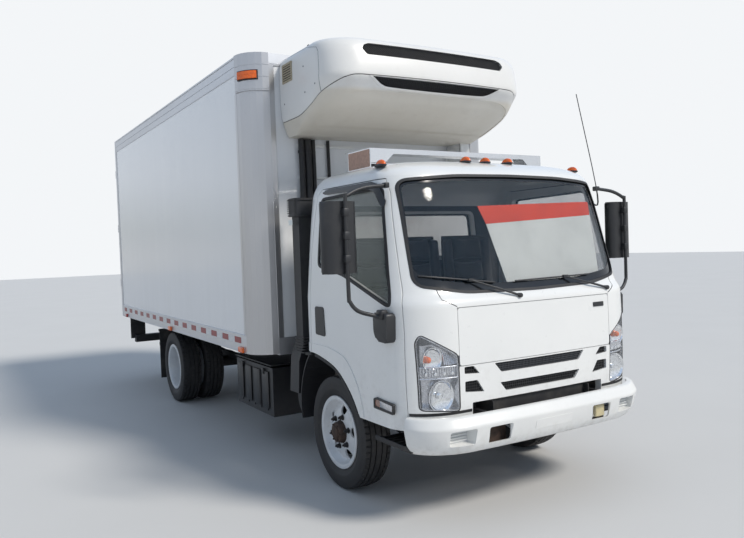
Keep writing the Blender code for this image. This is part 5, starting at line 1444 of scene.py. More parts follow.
def pocket_ribs():
    ribs = []
    for side in (-1, 1):
        for k in range(4):
            z = 0.548 + 0.018 * k
            ribs.append(block((1.112, 1.128), (side * 0.652, side * 0.788), (z, z + 0.007), 0.002, 1))
    return merged(ribs)


piece("bumper_ribs", pocket_ribs(), BUMPER_PAINT, "chassis")


def bumper_backs():
    items = []
    for side in (-1, 1):
        items.append(block((1.120, 1.126), (side * 0.345, side * 0.545), (0.50, 0.63)))
        items.append(block((0.95, 1.15), (side * 0.375, side * 0.425), (0.60, 0.66), 0.004))
    return merged(items)


piece("bumper_backs", bumper_backs(), RUSTY_STEEL, "chassis")
FOG_GLASS = glass("amber fog glass", (0.80, 0.70, 0.42), 0.62)
piece("fog_lens_left", block((1.150, 1.172), (0.420, 0.505), (0.524, 0.606), 0.008, 3), FOG_GLASS,
      "chassis")
piece("fog_bowl_left", block((1.128, 1.149), (0.412, 0.512), (0.518, 0.612), 0.006, 2), CHROME,
      "chassis")


def cab_steps():
    items = []
    for side in (-1, 1):
        items.append(block((0.56, 0.975), (side * 0.70, side * 0.955), (0.482, 0.490), 0.002, 1))
        items += [block((0.585 + 0.055 * k, 0.610 + 0.055 * k), (side * 0.73, side * 0.94),
                        (0.490, 0.4965), 0.002, 1) for k in range(6)]
        items.append(block((0.56, 0.965), (side * 0.947, side * 0.957), (0.478, 0.510), 0.003, 1))
        items.append(block((0.56, 0.965), (side * 0.70, side * 0.71), (0.478, 0.585), 0.003, 1))
        items.append(block((0.66, 0.78), (side * 0.43, side * 0.705), (0.562, 0.585), 0.004, 1))
    return merged(items)


piece("cab_steps", cab_steps(), CHASSIS_PAINT, "chassis")
print("bumper ready")

# %% [markdown]
# ## Headlamps
# A headlamp is a clear cover over a deep bowl. What is seen through it makes it look real: a
# chrome reflector for the main beam, an amber bulb behind fluted plastic, and a strip with four
# small round lenses between them. The cover follows the cab's skin.

# %% Headlamps
def bowl(y, z, x, radius, depth, steps=40):
    """A reflector that opens forwards, with stepped rings."""
    profile = []
    for k in range(9):
        r = radius * (1 - k / 9)
        along = -depth * (1 - (r / radius) ** 2)
        profile.append((along, r))
        if 0 < k < 8:
            profile.append((along - 0.0022, r - 0.001))
    profile.append((-depth, 0.0))
    outside = [(-depth - 0.004, 0.0), (-0.004, radius + 0.004), (0.0, radius + 0.004)]
    return turned(profile + outside, (x, y, z), axis=(1, 0, 0), steps=steps)


def lamp_skin(low, high, outline):
    return common(cab_layer(low, high),
                  sheet([(-y, z) for y, z in outline], "front", 0.7, 2.0),
                  block((0.7, 2), (-1.2, -0.6), (0, 2)),
                  cut(block((0.7, 2), (-1.3, 0), (0, 2)),
                      sheet(offset_outline(DOOR, GAP), "side", -2, 2)))


def make_lamp():
    cover = lamp_skin(0.0, 0.004, offset_outline(LAMP, -0.003))
    back = lamp_skin(0.075, 0.080, offset_outline(LAMP, -0.003))
    wall = cut(lamp_skin(0.0045, 0.075, offset_outline(LAMP, -0.0035)),
               sheet([(-y, z) for y, z in offset_outline(LAMP, -0.010)], "front", 0.6, 2.1))
    bezel = cut(lamp_skin(-0.0006, 0.004, offset_outline(LAMP, 0.001)),
                sheet([(-y, z) for y, z in offset_outline(LAMP, -0.0035)], "front", 0.6, 2.1))
    return cover, back, wall, bezel


def lamp_inside():
    """Chrome and grey parts for the right-hand lamp."""
    chrome = [bowl(-0.768, 0.812, skin_x(-0.768, 0.81) - 0.030, 0.092, 0.045, 48),
              bowl(-0.815, 1.036, skin_x(-0.815, 1.03) - 0.034, 0.070, 0.036, 40)]
    chrome.append(turned([(0.0, 0.0), (0.0, 0.018), (0.022, 0.015), (0.027, 0.0)],
                         (skin_x(-0.768, 0.8) - 0.062, -0.768, 0.812), (1, 0, 0), 24))
    grey = []
    for y in [0.676 + 0.0125 * k for k in range(6)] + [0.888, 0.898]:
        top = 1.040 + (y - 0.668) * 0.50
        x = skin_x(-y, 1.0, 0.040)
        grey.append(rod((x, -y, 0.998), (x - 0.02, -y, top), 0.0055, 8))
    for k in range(15):
        y = 0.676 + 0.0155 * k
        x = skin_x(-y, 0.96, 0.022)
        grey.append(block((x - 0.012, x), (-y, -y - 0.0135), (0.936, 0.990), 0.003, 1))
    for z in (0.924, 0.993):
        rows = [(skin_x(-y, z, 0.014), -y, z) for y in [0.674 + 0.02 * k for k in range(12)]]
        grey.append(tube(rows, 0.0050, 8))
    dots = [turned([(0.0, 0.0), (0.0, 0.012), (0.007, 0.010), (0.010, 0.0)],
                   (skin_x(-y, 0.948, 0.020), -y, 0.950), (1, 0, 0), 20)
            for y in (0.705, 0.757, 0.809, 0.861)]
    return merged(chrome), merged(grey), merged(dots)


lens, back, wall, bezel = make_lamp()
chrome, grey, dots = lamp_inside()
bulb = ball((skin_x(-0.83, 1.036) - 0.045, -0.835, 1.036), (0.024, 0.016, 0.020), 20, 12)
pair("lamp_cover", lens, LAMP_LENS, "cab", ["headlamp_*"])
pair("lamp_bezel", bezel, BLACK_RUBBER, "cab")
for name, item, finish in (("lamp_back", back, LAMP_GREY), ("lamp_wall", wall, LAMP_GREY),
                           ("lamp_reflectors", chrome, CHROME), ("lamp_flutes", grey, LAMP_GREY),
                           ("lamp_dots", dots, CHROME), ("indicator_bulb", bulb, AMBER)):
    pair(name, item, finish, "cab")
print("headlamps ready")

# %% [markdown]
# ## Cooling unit
# The unit is one smooth nose in two mouldings. The seam between them sweeps up from the back and
# round the front, and the lower moulding has a shallow panel inside a rounded rim. Both mouths are
# closed by a diagonal mesh in front of a deep black back, painted shade for the dark inside.

# %% Cooling unit
def unit_solid(inset=0.0):
    return loft([nose_ring(z, BOX_FRONT + THIN, front, half, depth, width, inset, 0.02, UNIT_BOW)
                 for z, front, half, depth, width in UNIT_ROWS])


def unit_layer(low, high):
    return cut(unit_solid(low), unit_solid(high))


SEAM = [(-0.95, 2.748), (-0.60, 2.748), (-0.43, 2.756), (-0.25, 2.799), (-0.12, 2.864),
        (-0.01, 2.914), (0.06, 2.946), (0.12, 2.966), (0.32, 2.975)]
UPPER_MOUTH = rounded(((-0.625, 3.111), (0.625, 3.111), (0.662, 3.150), (0.640, 3.186), (0.595, 3.202),
                       (-0.595, 3.202), (-0.640, 3.186), (-0.662, 3.150)), 0.012, 3)
LOWER_CURVE = [(-0.60, 2.958), (-0.55, 2.932), (-0.495, 2.909), (-0.40, 2.897), (0.0, 2.892),
               (0.40, 2.897), (0.495, 2.909), (0.55, 2.932), (0.60, 2.958)]
PANEL = rounded(((-0.840, 2.662), (0.840, 2.662), (0.862, 2.780), (0.805, 2.828), (0.700, 2.860),
                 (0.560, 2.874), (-0.560, 2.874), (-0.700, 2.860), (-0.805, 2.828), (-0.862, 2.780)),
                0.035, 6)


def smooth_line(points, per_span=5):
    return [(p.x, p.z) for p in smooth_path([(a, 0, b) for a, b in points], per_span)]


def seam_side(lift, top=False):
    line = [(x, z + lift) for x, z in smooth_line(SEAM)]
    far = 3.6 if top else 2.3
    return sheet(line + [(0.32, far), (-0.95, far)], "side", -2, 2)


def lower_mouth(grow=0.0):
    return offset_outline(smooth_line(LOWER_CURVE), grow)


def make_unit():
    upper = common(unit_solid(), seam_side(0.003, top=True))
    upper = cut(upper, sheet(UPPER_MOUTH, "front", -0.05, 0.4))
    lower = common(unit_solid(), seam_side(-0.003))
    lower = cut(lower, sheet(lower_mouth(), "front", -0.05, 0.4))
    ledge = common(unit_layer(-0.005, 0.02), seam_side(-0.004),
                   cut(sheet(lower_mouth(0.014), "front", -0.1, 0.4),
                       sheet(lower_mouth(0.0005), "front", -0.2, 0.5)))
    rim_cut = cut(sheet(PANEL, "front", -0.75, 0.4), unit_solid(0.009))
    lower = cut(lower, rim_cut)
    return upper, merged([lower, ledge])


upper, lower = make_unit()
piece("unit_upper_cover", upper, WHITE_PLASTIC, "chassis", ["unit_cowl"])
piece("unit_lower_cover", lower, SHADED_BELLY_PLASTIC, "chassis", ["unit_belly"])


def unit_seam():
    band = [(x, z + 0.0032) for x, z in smooth_line(SEAM)]
    band += [(x, z - 0.0032) for x, z in reversed(smooth_line(SEAM))]
    return common(unit_layer(0.004, 0.03), sheet(band, "side", -2, 2))


piece("unit_seam", unit_seam(), BLACK_RUBBER, "chassis")


def lattice(y_low, y_high, z_low, z_high, depth, pitch=0.020, thick=0.0048):
    """Diagonal bars that follow the front of the unit, depth behind its skin."""
    bars_made = []
    height = z_high - z_low
    for direction in (-1, 1):
        y = y_low - height
        while y < y_high + height:
            ends = []
            for t in (0.0, 1.0):
                place = y + direction * height * t
                ends.append((place, z_low + height * t))
            (ya, za), (yb, zb) = ends
            xa, xb = unit_front(ya, za) - depth, unit_front(yb, zb) - depth
            if max(abs(ya), abs(yb)) < 0.72:
                bars_made.append(rod((xa - 0.003 * direction, ya, za), (xb - 0.003 * direction, yb, zb),
                                     thick / 2, 5))
            y += pitch
    return merged(bars_made)


def unit_front(y, z):
    return nose_x(y, *slice_at(UNIT_ROWS, z)[1:], UNIT_BOW)


piece("unit_upper_mesh", lattice(-0.67, 0.67, 3.108, 3.205, 0.010), BLACK_PLASTIC, "chassis")
piece("unit_lower_mesh", lattice(-0.61, 0.61, 2.890, 2.962, 0.012), BLACK_PLASTIC, "chassis")


# Deep black plates behind both mouths: painted shade for the dark inside of the unit.
def mouth_shade_backs():
    upper_back = common(unit_layer(0.028, 0.034),
                        sheet(offset_outline(UPPER_MOUTH, -0.0005), "front", -0.05, 0.4))
    lower_back = common(unit_layer(0.028, 0.034),
                        sheet(lower_mouth(-0.0005), "front", -0.05, 0.4))
    return merged([upper_back, lower_back])


piece("unit_mouth_shade_backs", mouth_shade_backs(), DEEP_BLACK_AND_SHADE, "chassis")


def unit_side_details():
    """Side seam and screws of one side."""
    edge = [(-0.118, 2.862), (-0.103, 2.94), (-0.097, 3.012), (-0.106, 3.150), (-0.130, 3.185),
            (-0.30, 3.228), (-0.78, 3.240)]
    strip = common(unit_layer(-0.0006, 0.003), sheet(ribbon(edge, 0.0036), "side", -1.2, -0.6))
    screws = [rod((x, -0.925, z), (x, -0.9325, z), 0.006, 12) for x, z in
              ((-0.341, 3.095), (-0.327, 2.900), (-0.70, 2.88), (-0.16, 2.93))]
    return merged([strip] + screws)


def side_vent():
    frame_part = frame_sheet(rounded(rectangle((-0.716, -0.540), (3.038, 3.186)), 0.006, 3),
                             rounded(rectangle((-0.700, -0.556), (3.054, 3.170)), 0.004, 3),
                             "side", -0.936, -0.922)
    slats = []
    for k in range(6):
        z = 3.062 + 0.0185 * k
        slats.append(sheet([(-0.701, z), (-0.555, z), (-0.555, z + 0.010), (-0.701, z + 0.010)], "side",
                           -0.934, -0.926))
    return merged([frame_part] + slats)


# A deep black block behind the slats: painted shade inside the vent.
vent_shade_back = block((-0.702, -0.554), (-0.9312, -0.927), (3.052, 3.172))
pair("unit_side_lines", unit_side_details(), SCREW_GREY, "chassis")
pair("unit_side_vent", side_vent(), TAN_PLASTIC, "chassis")
pair("unit_vent_back", vent_shade_back, DEEP_BLACK_AND_SHADE, "chassis")


def belly_normal(y, z):
    here = Vector((unit_front(y, z), y, z))
    up = Vector((unit_front(y, z + 0.01), y, z + 0.01)) - here
    across = Vector((unit_front(y + 0.01, z), y + 0.01, z)) - here
    return here, across.cross(up).normalized()


def belly_holes():
    rings = []
    hole_shades = []
    for y, z, radius in ((-0.569, 2.751, 0.026), (-0.277, 2.747, 0.022), (-0.070, 2.745, 0.018),
                         (0.138, 2.743, 0.018), (0.436, 2.746, 0.018)):
        here, normal = belly_normal(y, z)
        base = here - normal * 0.0090
        rings.append(turned([(0.0, radius), (0.0062, radius * 0.75), (0.0062, radius * 0.50),
                             (0.0, radius * 0.40)], base, normal, 32))
        # A deep black disc deep in each hole: painted shade inside it.
        hole_shades.append(rod(base, base + normal * 0.0045, 0.0080, 16))
    return merged(rings), merged(hole_shades)


rings, hole_shades = belly_holes()
piece("unit_drain_rings", rings, SHADED_BELLY_PLASTIC, "chassis")
piece("unit_drain_holes", hole_shades, DEEP_BLACK_AND_SHADE, "chassis")
piece("unit_top_stub", rod((-0.43, -0.80, 3.245), (-0.45, -0.83, 3.292), 0.011, 16, bevel=0.002),
      BLACK_PLASTIC, "chassis")


def unit_leg():
    items = [block((-0.786, -0.60), (0.735, 0.745), (2.47, 2.70), 0.002),
             block((-0.786, -0.60), (0.845, 0.855), (2.47, 2.70), 0.002),
             block((-0.610, -0.600), (0.735, 0.855), (2.47, 2.70), 0.002),
             block((-0.789, -0.780), (0.71, 0.88), (2.45, 2.60), 0.002)]
    return merged(items)


piece("unit_leg_left", unit_leg(), WHITE_PAINT, "chassis")
print("cooling unit ready")

# %% [markdown]
# ## Wipers, aerial and roof lamps
# Two wipers park to the right at the foot of the glass, and five amber lamps sit on the roof's
# front edge. The near end of each wiper arm turns on a spindle in the panel below the glass.

# %% Wipers, aerial and roof lamps
def on_glass(y, z, lift=0.004):
    return (skin_x(y, z, 0.010) + lift, y, z)


def wiper(tip, elbow, pivot):
    """Blade, arm and spindle, from the places across and up the glass."""
    foot = Vector((skin_x(*pivot) + 0.014, *pivot))
    joint = Vector(on_glass(*elbow, 0.024))
    middle = foot.lerp(joint, 0.5) + Vector((0.010, 0, 0))
    arm = tube([foot, middle, joint], [0.0075] * 7 + [0.005] * 6, 10)
    along = (Vector(on_glass(*elbow)) - Vector(on_glass(*tip))).normalized()
    rail, lip = [], []
    for k in range(13):
        t = k / 12
        y = tip[0] + (elbow[0] - tip[0]) * t * 1.55
        z = tip[1] + (elbow[1] - tip[1]) * t * 1.55
        rail.append(on_glass(y, z, 0.016))
        lip.append(on_glass(y, z, 0.007))
    spindle = rod(foot - Vector((0.030, 0, 0)), foot + Vector((0.008, 0, 0.002)), 0.015, 20, bevel=0.003)
    clip = block((joint.x - 0.012, joint.x + 0.006), (joint.y - 0.022, joint.y + 0.022),
                 (joint.z - 0.010, joint.z + 0.010), 0.003)
    return merged([arm, tube(rail, 0.0055, 8), tube(lip, 0.0035, 6), spindle, clip])


wipers = [wiper((-0.849, 1.542), (-0.507, 1.500), (-0.163, 1.385)),
          wiper((-0.145, 1.476), (0.300, 1.482), (0.659, 1.385))]
piece("wipers", merged(wipers), BLACK_PLASTIC, "cab")


def aerial():
    mast = tube([(0.770, 0.878, 1.990), (0.800, 0.915, 2.055), (0.625, 0.908, 2.840)],
                [0.006] * 7 + [0.0035] * 6, 10)
    foot = turned([(0.0, 0.0), (0.0, 0.020), (0.012, 0.016), (0.030, 0.008), (0.034, 0.0)],
                  (0.758, 0.868, 1.985), (0.45, 0.75, 0.5), 20)
    return merged([mast, foot])


piece("aerial", aerial(), BLACK_PLASTIC, "cab")


def roof_lamps():
    domes, bases = [], []
    for x, y, z in ((0.60, 0.865, 2.252), (0.62, 0.19, 2.292), (0.60, 0.0, 2.294), (0.62, -0.19, 2.292),
                    (0.60, -0.865, 2.252)):
        bases.append(ball((x - 0.006, y, z - 0.004), (0.062, 0.032, 0.014), 28, 10))
        dome = ball((x, y, z), (0.050, 0.024, 0.034), 28, 16)
        domes.append(cut(dome, block((x - 0.1, x + 0.1), (y - 0.1, y + 0.1), (z - 0.1, z + 0.001))))
    return merged(domes), merged(bases)


domes, bases = roof_lamps()
piece("roof_lamp_domes", domes, AMBER, "cab")
piece("roof_lamp_bases", bases, BLACK_PLASTIC, "cab")
print("wipers, aerial and roof lamps ready")

# %% [markdown]
# ## Card behind the windscreen
# A blank white card with a red upper band leans on the inside of the glass. It is cut from the same
# skin as the glass, further in.

# %% Card
def card(outline):
    return common(cab_layer(0.040, 0.042), sheet(outline, "front", 0.45, 2))


CARD_WHITE = plain("card white", (0.90, 0.93, 0.90), 0.50, 4.0, 0.02)
CARD_RED = plain("card red", (0.95, 0.075, 0.025), 0.50, 4.0, 0.05)
piece("card_white", card([(-0.18, 1.462), (0.70, 1.466), (0.786, 1.904), (-0.252, 1.850)]), CARD_WHITE,
      "cab")
piece("card_red_band", card([(-0.252, 1.8505), (0.786, 1.9045), (0.829, 2.004), (-0.294, 1.970)]),
      CARD_RED, "cab")
print("card ready")

# %% [markdown]
# ## Mirrors
# Each mirror head hangs on a bent steel tube that springs from a hinged foot on the door. The
# head is a moulded shell with the glass set in its rear.

# %% Mirrors
def mirror_arm():
    points = [(0.835, -1.045, 1.298), (0.805, -1.085, 1.312), (0.790, -1.180, 1.345),
              (0.782, -1.228, 1.400), (0.780, -1.237, 1.470), (0.780, -1.237, 2.000),
              (0.778, -1.222, 2.040), (0.772, -1.110, 2.085), (0.765, -0.945, 2.105)]
    ring = block((0.742, 0.790), (-0.955, -0.925), (2.088, 2.122), 0.006)
    return merged([tube(points, 0.0125, 14), ring])


def mirror_head():
    plan = [(0.668, -1.130), (0.668, -1.364), (0.715, -1.362), (0.748, -1.315), (0.760, -1.240),
            (0.748, -1.160), (0.715, -1.132)]
    shell = sheet(rounded(plan, 0.022, 5), "plan", 1.572, 2.008, bevel=0.018)
    well = sheet(rounded([(0.60, -1.143), (0.60, -1.352), (0.680, -1.352), (0.680, -1.143)], 0.012, 3),
                 "plan", 1.588, 1.992)
    clamps = [block((0.748, 0.796), (-1.256, -1.218), (z - 0.024, z + 0.024), 0.006)
              for z in (1.66, 1.80, 1.94)]
    return merged([cut(shell, well)] + clamps)


def mirror_foot():
    outline = rounded([(0.742, 1.325), (0.742, 1.205), (0.775, 1.150), (0.895, 1.144), (0.897, 1.325)],
                      0.022, 5)
    pad = sheet(outline, "side", -1.052, -0.985, bevel=0.012)
    knuckle = block((0.80, 0.865), (-1.065, -1.015), (1.285, 1.345), 0.010)
    return merged([cut(pad, cab_solid(-THIN)), knuckle])


mirror_pane = sheet(rounded(rectangle((-1.350, -1.145), (1.590, 1.990)), 0.010, 3), "front",
                    0.6775, 0.6800)
pair("mirror_arm", mirror_arm(), BLACK_PLASTIC, "*_cab_door", ["mirror_*"])
pair("mirror_head", mirror_head(), BLACK_PLASTIC, "*_cab_door")
pair("mirror_foot", mirror_foot(), BLACK_PLASTIC, "*_cab_door")
pair("mirror_glass", mirror_pane, CHROME, "*_cab_door")
print("mirrors ready")

# %% [markdown]
# ## Door handles, side lamps and visors
# The handle is a black tray with a flap in it. The side lamp under it has a black frame, a clear
# front part and an amber rear part. A smoked visor runs along the top of the window.

# %% Door fittings
def door_skin(low, high, outline):
    return common(cab_layer(low, high), sheet(outline, "side", -1.2, -0.6))


HANDLE = rounded([(-0.130, 1.110), (0.008, 1.104), (0.015, 1.120), (0.002, 1.300), (-0.010, 1.312),
                  (-0.118, 1.312), (-0.130, 1.300)], 0.016, 4)
SIDE_LAMP = rounded([(0.655, 0.712), (0.878, 0.705), (0.885, 0.770), (0.690, 0.785), (0.655, 0.772)],
                    0.008, 3)
SIDE_AMBER = ((0.669, 0.726), (0.7215, 0.7245), (0.7215, 0.7690), (0.690, 0.771), (0.669, 0.762))
SIDE_CLEAR = ((0.7235, 0.7245), (0.866, 0.7195), (0.871, 0.7575), (0.7235, 0.7690))
VISOR = rounded([(-0.040, 2.140), (0.020, 2.146), (0.600, 2.144), (0.672, 2.122), (0.748, 2.010),
                 (0.746, 1.972), (0.716, 1.985), (0.650, 2.072), (0.575, 2.096), (0.020, 2.108),
                 (-0.040, 2.110)], 0.006, 3)


def door_fittings():
    tray = cut(door_skin(-0.006, 0.020, HANDLE), door_skin(-0.02, 0.012, offset_outline(HANDLE, -0.014)))
    flap = block((-0.100, -0.020), (-1.013, -1.003), (1.135, 1.270), 0.004)
    face = -skin_y(0.745)
    rim = frame_sheet(SIDE_LAMP, offset_outline(SIDE_LAMP, -0.013), "side", face - 0.010, face + 0.006)
    amber = sheet(SIDE_AMBER, "side", face - 0.006, face + 0.004, bevel=0.001)
    clear = sheet(SIDE_CLEAR, "side", face - 0.006, face + 0.004, bevel=0.001)
    visor = door_skin(-0.013, -0.010, VISOR)
    feet = [block((x - 0.012, x + 0.012), (-0.945, -0.920), (2.118, 2.132), 0.002)
            for x in (-0.06, 0.28, 0.60)]
    return tray, flap, rim, amber, clear, visor, merged(feet)


tray, flap, rim, amber, clear, visor, feet = door_fittings()
for name, item, finish, slot in (
        ("door_handle", merged([tray, flap]), BLACK_PLASTIC, "black_plastic"),
        ("side_lamp_frame", rim, BLACK_PLASTIC, "black_plastic"),
        ("side_lamp_amber", amber, DULL_AMBER, "lamp_glass"),
        ("side_lamp_clear", clear, LAMP_GREY, "lamp_glass"),
        ("visor", merged([visor, feet]), GLOSS_BLACK, "window_glass")):
    pair(name, item, finish, "*_cab_door")
print("door fittings ready")

# %% [markdown]
# ## Tyres
# A tyre is a section turned about its axle, but its tread isn't: blocks and grooves repeat round
# it. Each point of the section is moved in where a groove passes, so one grid makes the whole
# tyre. The walls get the mould's rings and a raised band, left without letters.

# %% Tyres
TYRE_HALF = ((0.0855, 0.250), (0.0862, 0.262), (0.0930, 0.272), (0.1015, 0.288), (0.1055, 0.300),
             (0.1075, 0.303), (0.1090, 0.312), (0.1098, 0.325), (0.1100, 0.338), (0.1096, 0.350),
             (0.1082, 0.361), (0.1060, 0.368), (0.1050, 0.372), (0.1030, 0.384), (0.0985, 0.394))
TREAD = ((0.0960, 0.3975, "shoulder"), (0.0820, 0.4005, "shoulder"), (0.0680, 0.4025, "shoulder"),
         (0.0665, 0.3925, "groove"), (0.0605, 0.3925, "groove"), (0.0590, 0.4035, "rib"),
         (0.0430, 0.4045, "rib"), (0.0280, 0.4048, "rib"), (0.0265, 0.3925, "groove"),
         (0.0205, 0.3925, "groove"), (0.0190, 0.4050, "rib"), (0.0060, 0.4050, "rib"))
BEAD = 0.2495
WHEEL_HEIGHT = 0.405
FRONT_Y = 0.8325
REAR_INNER_Y = 0.6915
REAR_OUTER_Y = 0.9585


def tyre_grid(y, blocks=56, steps=5):
    half = [(a, r, "wall") for a, r in TYRE_HALF] + list(TREAD)
    section = half + [(-a, r, kind) for a, r, kind in reversed(half)]
    section += [(-0.080, BEAD, "wall"), (0.080, BEAD, "wall")]
    bm = bmesh.new()
    rows = []
    total = blocks * steps
    for k in range(total):
        angle = tau * k / total
        ring = []
        for i, (along, radius, kind) in enumerate(section):
            turn = angle
            if kind == "shoulder" and (k + (2 if along < 0 else 0)) % steps == 0:
                radius -= 0.0075
            if kind == "rib":
                turn += 0.006 * sin(blocks * angle) * (1 if along > 0 else -1)
                if (k + 1) % steps == 0:
                    radius -= 0.0030
            ring.append(bm.verts.new((radius * cos(turn), along, radius * sin(turn))))
        rows.append(ring)
    count = len(section)
    for k in range(total):
        first, second = rows[k], rows[(k + 1) % total]
        for i in range(count):
            j = (i + 1) % count
            bm.faces.new((first[i], first[j], second[j], second[i]))
    bmesh.ops.translate(bm, vec=(0, y, 0), verts=bm.verts)
    return from_bmesh(bm)


def at_axle(item, x):
    item.data.transform(Matrix.Translation((x, 0, WHEEL_HEIGHT)))
    return item


for name, side in SIDES:
    piece("front_tyre_fine_" + name, at_axle(tyre_grid(side * FRONT_Y), 0.0), TYRE_RUBBER,
          name + "_front_wheel", ["front_tyre_" + name], 40)
    for place, y in (("inner", REAR_INNER_Y), ("outer", REAR_OUTER_Y)):
        piece("rear_tyre_fine_%s_%s" % (place, name), at_axle(tyre_grid(side * y), REAR_AXLE),
              TYRE_RUBBER, name + "_rear_wheels", ["rear_tyre_%s_%s" % (place, name)], 40)
print("tyres ready")

# %% [markdown]
# ## Rims, nuts and hubs
# The front rim's disc bulges outwards and has five large round vents. The rear pair face each
# other, so the outer one is a deep dish. Each rim is one section turned about the axle, then the
# vents are cut. Nuts and hubs are cast and rusty brown.

# %% Rims
FRONT_RIM = ((0.074, 0.083), (0.073, 0.092), (0.071, 0.130), (0.066, 0.150), (0.057, 0.172),
             (0.047, 0.188), (0.046, 0.198), (0.052, 0.207), (0.066, 0.216), (0.084, 0.225),
             (0.0955, 0.231), (0.0995, 0.238), (0.1003, 0.250), (0.0990, 0.2585), (0.0940, 0.2615),
             (0.0885, 0.2600), (0.0860, 0.2490), (0.060, 0.2465), (0.0, 0.2400), (-0.060, 0.2465),
             (-0.0860, 0.2490), (-0.0885, 0.2600), (-0.0940, 0.2615), (-0.1003, 0.2560),
             (-0.1000, 0.2380), (-0.080, 0.2280), (0.010, 0.2120), (0.034, 0.2020), (0.040, 0.1870),
             (0.052, 0.1500), (0.060, 0.1200), (0.060, 0.083))
REAR_RIM = ((0.034, 0.084), (0.028, 0.094), (0.026, 0.130), (0.028, 0.152), (0.034, 0.170),
            (0.046, 0.184), (0.080, 0.194), (0.134, 0.205), (0.190, 0.215), (0.222, 0.225),
            (0.2315, 0.231), (0.2345, 0.240), (0.2340, 0.2540), (0.2300, 0.2615), (0.2225, 0.2600),
            (0.2200, 0.2490), (0.1335, 0.2430), (0.046, 0.2490), (0.0450, 0.2560), (0.0350, 0.2560),
            (0.0200, 0.2120), (0.0100, 0.1900), (0.0050, 0.1500), (0.0050, 0.084))
VENTS = 5


def around(centre, ring, count, start=0.0):
    """Places on a circle about a wheel's axle, as x and z."""
    angles = [start + tau * k / count for k in range(count)]
    return [(centre[0] + ring * cos(a), centre[2] + ring * sin(a)) for a in angles]


def vents(centre, low, high, ring, radius, start):
    return merged([rod((x, centre[1] + low, z), (x, centre[1] + high, z), radius, 24)
                   for x, z in around(centre, ring, VENTS, start)])


def nuts(centre, side, ring, low, high):
    """Washer, nut and stud end at each bolt."""
    items = []
    for x, z in around(centre, ring, 6, tau / 24):
        for first, last, radius, count, bevel in ((low, low + 0.006, 0.021, 20, 0.0015),
                                                  (low + 0.006, low + 0.026, 0.0155, 6, 0.0012),
                                                  (low + 0.026, high, 0.0075, 12, 0.001)):
            items.append(rod((x, centre[1] + side * first, z), (x, centre[1] + side * last, z),
                             radius, count, bevel=bevel))
    return merged(items)


def hub(centre, side, low, high, radius):
    profile = [(low, 0.0), (low, radius + 0.004), (low + 0.010, radius + 0.004),
               (low + 0.012, radius), (high - 0.020, radius - 0.006),
               (high - 0.014, radius - 0.012), (high - 0.012, radius * 0.62),
               (high - 0.002, radius * 0.55), (high, radius * 0.48), (high, 0.0)]
    studs = [rod((x, centre[1] + side * (high - 0.018), z), (x, centre[1] + side * (high - 0.004), z),
                 0.0065, 6) for x, z in around(centre, radius * 0.76, 6)]
    return merged([turned(profile, centre, (0, side, 0), 48)] + studs)


for name, side in SIDES:
    body = name + "_front_wheel"
    centre = (0.0, side * FRONT_Y, WHEEL_HEIGHT)
    rim = cut(turned(FRONT_RIM, centre, (0, side, 0), 120),
              vents(centre, side * 0.02, side * 0.12, 0.166, 0.037, radians(8)))
    piece("front_rim_fine_" + name, rim, WHEEL_PAINT, body, ["front_rim_" + name])
    # The drum is a real part; its near-black colour also paints the shade inside the wheel.
    drum = turned([(-0.060, 0.0), (-0.060, 0.165), (0.000, 0.176), (0.024, 0.170), (0.030, 0.10),
                   (0.030, 0.0)], centre, (0, side, 0), 64)
    piece("front_drum_" + name, drum, DEEP_BLACK_AND_SHADE, body)
    piece("front_nuts_" + name, nuts(centre, side, 0.1115, 0.071, 0.110), DARK_IRON, body)
    piece("front_hub_" + name, hub(centre, side, 0.058, 0.131, 0.078), RUSTY_STEEL, body)
    body = name + "_rear_wheels"
    middle = side * (REAR_INNER_Y + REAR_OUTER_Y) / 2
    centre = (REAR_AXLE, middle, WHEEL_HEIGHT)
    rims = [cut(turned(REAR_RIM, centre, (0, turn, 0), 120),
                vents(centre, turn * 0.001, turn * 0.06, 0.140, 0.026, 0.3)) for turn in (side, -side)]
    piece("rear_rims_fine_" + name, merged(rims), WHEEL_PAINT, body, ["rear_rims_" + name])
    piece("rear_nuts_" + name, nuts(centre, side, 0.106, 0.027, 0.066), DARK_IRON, body)
    piece("rear_hub_" + name, hub(centre, side, 0.006, 0.129, 0.079), RUSTY_STEEL, body)
print("rims ready")

# %% [markdown]
# ## Details of the box
# Tape in dark red and white runs along the rail. Rivets hold the skin to the posts and to the top
# rail, small lamps mark the corners, and a drip edge runs along the roof. Such small parts repeat,
# so each row comes from a start, a pitch and a count.

# %% Box details
def dots_row(places, axis, radius=0.0055, height=0.0022):
    axis = Vector(axis)
    return merged([turned([(-0.0005, 0.0), (-0.0005, radius), (height * 0.6, radius * 0.8),
                           (height, radius * 0.3), (height, 0.0)], place, axis, 8) for place in places])


def box_rivets():
    rows = []
    heights = [1.09 + 0.0725 * k for k in range(29)]
    rows.append(dots_row([(-1.010, -1.216, z) for z in heights], (0, -1, 0)))
    rows.append(dots_row([(-5.640, -1.216, z) for z in heights], (0, -1, 0)))
    lengths = [-1.08 - 0.085 * k for k in range(54)]
    rows.append(dots_row([(x, -1.216, 3.165) for x in lengths], (0, -1, 0)))
    rows.append(dots_row([(x, -1.216, 1.062) for x in lengths], (0, -1, 0)))
    rows.append(dots_row([(x, -1.220, 0.925) for x in lengths[::2]], (0, -1, 0), 0.007))
    return merged(rows)


def front_rivets():
    heights = [1.10 + 0.075 * k for k in range(20)]
    places = [(-0.794, side * 1.005, z) for z in heights for side in (-1, 1)]
    places += [(-0.794, side * 0.34, z) for z in heights for side in (-1, 1)]
    return dots_row(places, (1, 0, 0))


